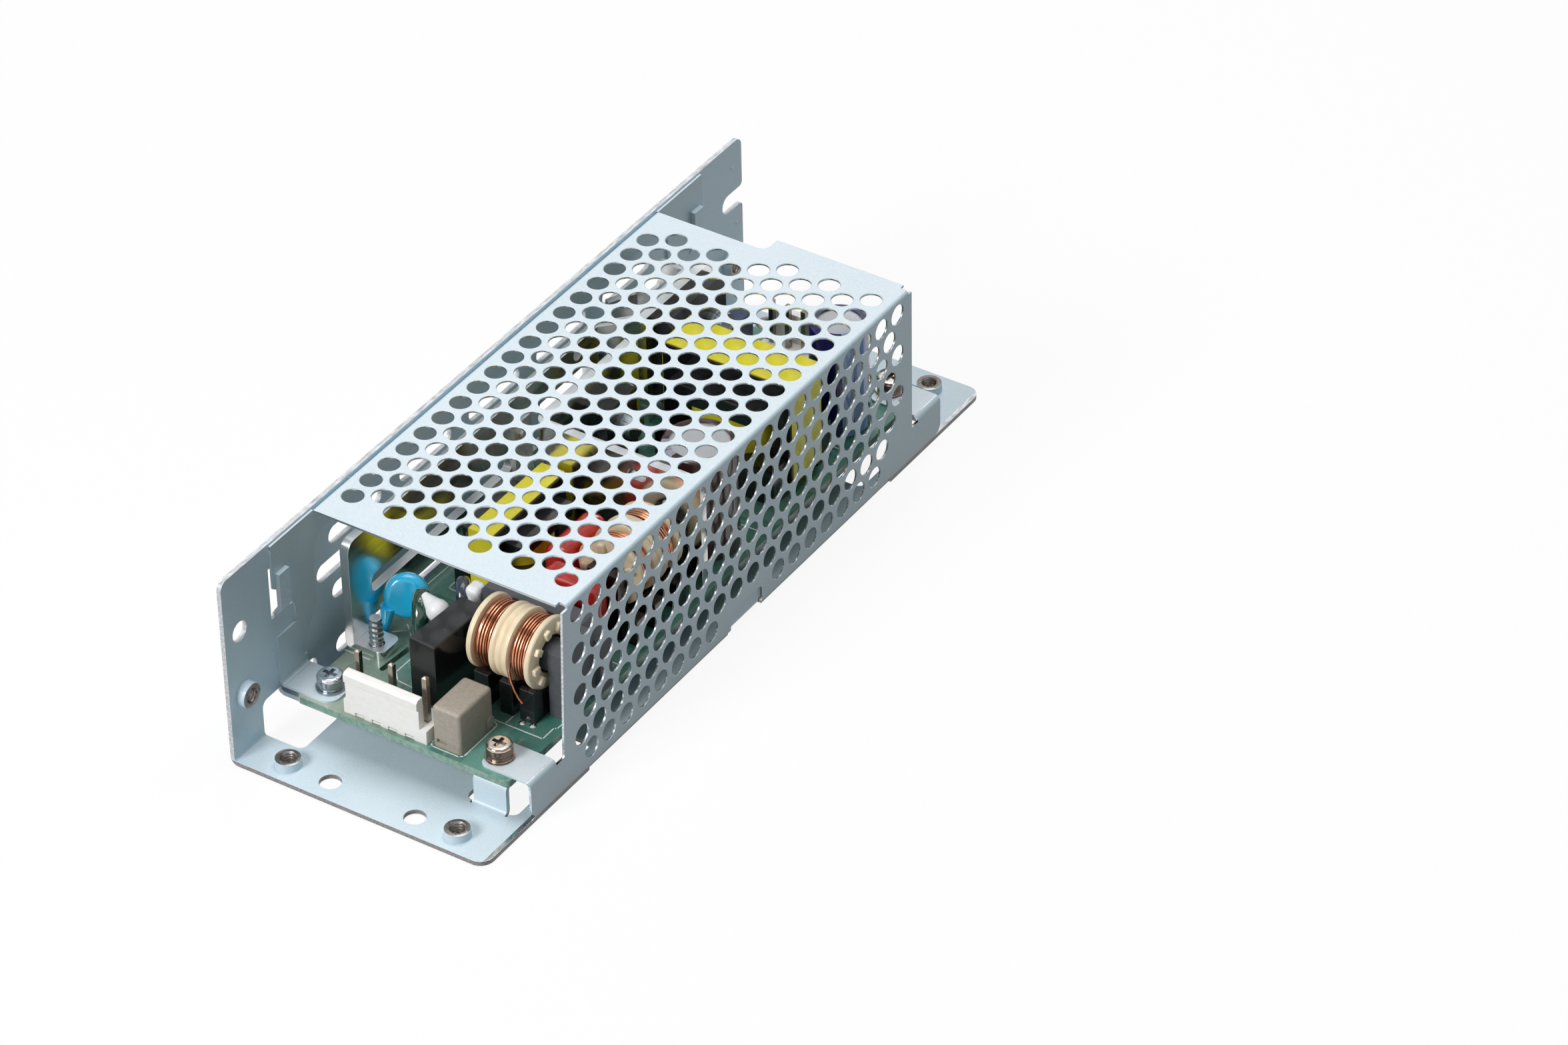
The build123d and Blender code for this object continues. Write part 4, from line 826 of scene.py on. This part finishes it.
def foot_screw():
    """The heatsink's foot screw: a coarse thread above its head and neck."""
    up = (0, 0, 1)
    foot = on_board(5.2, 19.6)
    shape = Shape()
    thread(shape, foot + Vector((0, 0, 1.0)), up, length=7.35, radius=1.5, pitch=1.25, depth=0.3,
           taper=0.35)
    head = [(0, -3.6), (2.5, -3.6), (2.7, -3.3), (2.7, -1.6), (1.45, -1.6), (1.45, 1.2), (0, 1.2)]
    shape.turned(head, foot, up, count=32)
    shape.piece("foot_screw_thread", PLATED, "plated_steel", "heatsink_screw", angle=50.0)


def tapped_threads():
    """Threads and rounded lips of the collars in the chassis' base and wall."""
    lip = [(1.75, 2.8), (1.8, 2.86), (2.5, 2.86), (2.66, 2.76), (2.6, 2.7), (1.75, 2.7)]
    places = [((x, y, 0.0), (0, 0, 1)) for x in COLLARS_X for y in COLLARS_Y]
    places += [((WALL_OUTSIDE, y, WALL_COLLAR_Z), (1, 0, 0)) for y in COLLARS_Y]
    shape = Shape()
    for mouth, axis in places:
        start = Vector(mouth) + Vector(axis) * 0.1
        thread(shape, start, axis, length=2.62, radius=1.5, pitch=0.62, depth=0.2, skin=1.748)
        shape.turned(lip, mouth, axis, count=40)
    shape.piece("tapped_threads", THREAD_STEEL, "plated_steel", angle=40.0)


def choke_wire_end():
    """The wire end that leaves the first choke's winding for its terminal."""
    points = ((38.6, 17.6, 12.4), (38.8, 17.0, 10.6), (39.3, 16.8, 8.8), (40.1, 16.8, 6.8),
              (40.9, 16.9, 5.2), (41.7, 17.0, 4.2))
    shape = Shape().tube([on_board(*point) for point in points], radius=0.28)
    shape.piece("choke_1_wire_end", WIRE_ACROSS, "copper_wire", angle=80.0)


def header_ledges():
    """Ledges inside the notches of both headers."""
    places = [(x, 1.05) for x in (14.5, 18.4, 22.3, 26.3)]
    places += [(18.48 + PIN_PITCH * i, 145.75) for i in range(5)]
    half_width, reach, height = 1.04, 1.4, 0.32
    shape = Shape()
    for x, y in places:
        low, high = on_board(x - half_width, y), on_board(x + half_width, y + reach, height)
        shape.box(low, high, radius=0.08, segments=1)
    shape.piece("header_ledges", NYLON, "white_nylon")


def fuse_marks():
    """Ejector mark and boss on the fuse's side."""
    mark = [(0, 0.0), (0.42, 0.0), (0.36, 0.14), (0, 0.18)]
    boss = [(0, 0.0), (1.25, 0.0), (1.25, 0.25), (1.05, 0.38), (0, 0.38)]
    shape = Shape()
    shape.turned(mark, on_board(37.88, 7.3, 6.1), (1, 0, 0), count=16)
    shape.turned(boss, on_board(37.85, 11.3, 2.0), (1, 0, 0), count=28)
    shape.piece("fuse_marks", FUSE_GREY, "fuse_grey", angle=30.0)


def wall_dimples():
    """Dimples pressed in the wall at the rear."""
    dome = [(0, 0.12), (0.35, 0.1), (0.5, 0.0)]
    shape = Shape()
    for y, z in ((87.7, 23.5), (86.3, 38.0)):
        shape.turned(dome, (WALL_INSIDE, y, z), (1, 0, 0), count=16)
    shape.piece("wall_dimples", CHASSIS_STEEL, "steel_sheet")


def terminal_solder():
    """Solder round the first choke's terminals, on the component side."""
    cone = [(0, 0.35), (0.3, 0.3), (0.75, 0.0), (0, 0.0)]
    shape = Shape()
    for x, y in ((44.2, 16.6), (42.0, 16.3)):
        shape.turned(cone, on_board(x, y), (0, 0, 1), count=16)
    shape.piece("terminal_solder", SOLDER, "tinned_pin")


choke_1, choke_1_length = on_board(29.2, 23.8, 12.9), 14.8
choke_2, choke_2_length = on_board(39.3, 50.9, 13.0), 14.6

perforated_cover()
beaded_bobbin("choke_1", choke_1, (1, 0, 0), choke_1_length, pegs_at_end=1)
beaded_bobbin("choke_2", choke_2, (0, 1, 0), choke_2_length, pegs_at_end=-1)
wound_wire("choke_1", WIRE_ACROSS, choke_1, (1, 0, 0), choke_1_length)
wound_wire("choke_2", WIRE_ALONG, choke_2, (0, 1, 0), choke_2_length)
printed_lines()
foot_screw()
tapped_threads()
choke_wire_end()
header_ledges()
fuse_marks()
wall_dimples()
terminal_solder()


# Stage, light and camera
def ranged(tree, value, low, high):
    """A value from 0 to 1 as one from low to high."""
    new = tree.nodes.new("ShaderNodeMapRange")
    new.inputs["To Min"].default_value = low
    new.inputs["To Max"].default_value = high
    tree.links.new(value, new.inputs["Value"])
    return new.outputs["Result"]


def seen_rays(tree):
    """One for the rays that show the background: camera, glossy and transmission rays."""
    path = tree.nodes.new("ShaderNodeLightPath")
    total = path.outputs["Is Camera Ray"]
    for kind in ("Is Glossy Ray", "Is Transmission Ray"):
        either = tree.nodes.new("ShaderNodeMath")
        either.operation = "MAXIMUM"
        tree.links.new(total, either.inputs[0])
        tree.links.new(path.outputs[kind], either.inputs[1])
        total = either.outputs[0]
    return total


def white_room():
    """White surroundings that give the part only a little light."""
    world = bpy.data.worlds.new("studio")
    bpy.context.scene.world = world
    world.use_nodes = True
    tree = world.node_tree
    background = tree.nodes["Background"]
    background.inputs["Color"].default_value = (1.0, 1.0, 1.0, 1.0)
    level = ranged(tree, seen_rays(tree), low=0.085, high=1.0)
    tree.links.new(level, background.inputs["Strength"])


def pale_floor():
    """A floor that looks white and still takes shadows."""
    half, sunk = 4.0, 0.0002
    corners = [(-half, -half, 0.0), (half, -half, 0.0), (half, half, 0.0), (-half, half, 0.0)]
    floor = bpy.data.meshes.new("floor")
    floor.from_pydata(corners, [], [(0, 1, 2, 3)])
    material = bpy.data.materials.new("pale_floor")
    material.use_nodes = True
    tree = material.node_tree
    tree.nodes.remove(tree.nodes["Principled BSDF"])
    matt = tree.nodes.new("ShaderNodeBsdfDiffuse")
    tone = ranged(tree, seen_rays(tree), low=0.35, high=0.9)
    tree.links.new(tone, matt.inputs["Color"])
    glow = tree.nodes.new("ShaderNodeEmission")
    glow.inputs["Strength"].default_value = 1.0
    blend = tree.nodes.new("ShaderNodeMixShader")
    share = ranged(tree, seen_rays(tree), low=0.0, high=0.9)
    tree.links.new(share, blend.inputs["Fac"])
    tree.links.new(matt.outputs[0], blend.inputs[1])
    tree.links.new(glow.outputs[0], blend.inputs[2])
    tree.links.new(blend.outputs[0], tree.nodes["Material Output"].inputs["Surface"])
    floor.materials.append(material)
    ground = bpy.data.objects.new("floor", floor)
    bpy.context.scene.collection.objects.link(ground)
    ground.location.z = -sunk


def area_light(name, place, target, size, watts):
    """A square light of a size in metres, aimed at a target."""
    data = bpy.data.lights.new(name, "AREA")
    data.shape = "RECTANGLE"
    data.size = data.size_y = size
    data.energy = watts
    obj = bpy.data.objects.new(name, data)
    bpy.context.scene.collection.objects.link(obj)
    obj.location = place
    obj.rotation_euler = (Vector(target) - Vector(place)).to_track_quat("-Z", "Y").to_euler()


def camera():
    """The photograph's own viewpoint, solved from the cover's rows of holes."""
    place = Vector((0.58362, -0.82108, 0.77521))
    right = Vector((0.83943, 0.54328, -0.01411))
    up = Vector((-0.31886, 0.51337, 0.79673))
    turn = Matrix((right, up, right.cross(up))).transposed().to_4x4()
    obj = bpy.data.objects.new("camera", bpy.data.cameras.new("camera"))
    bpy.context.scene.collection.objects.link(obj)
    obj.matrix_world = Matrix.Translation(place) @ turn
    obj.data.sensor_width = 36.0
    obj.data.lens = 145.23
    obj.data.clip_end = 20.0
    bpy.context.scene.camera = obj


white_room()
pale_floor()
area_light("key", place=(0.0, 0.3, 1.25), target=(0.0, 0.0, 0.0), size=0.8, watts=10.6)
area_light("fill", place=(-0.3, -1.05, 0.76), target=(0.0, 0.0, 0.02), size=0.5, watts=12.5)
camera()
bpy.context.scene.view_settings.view_transform = "Standard"
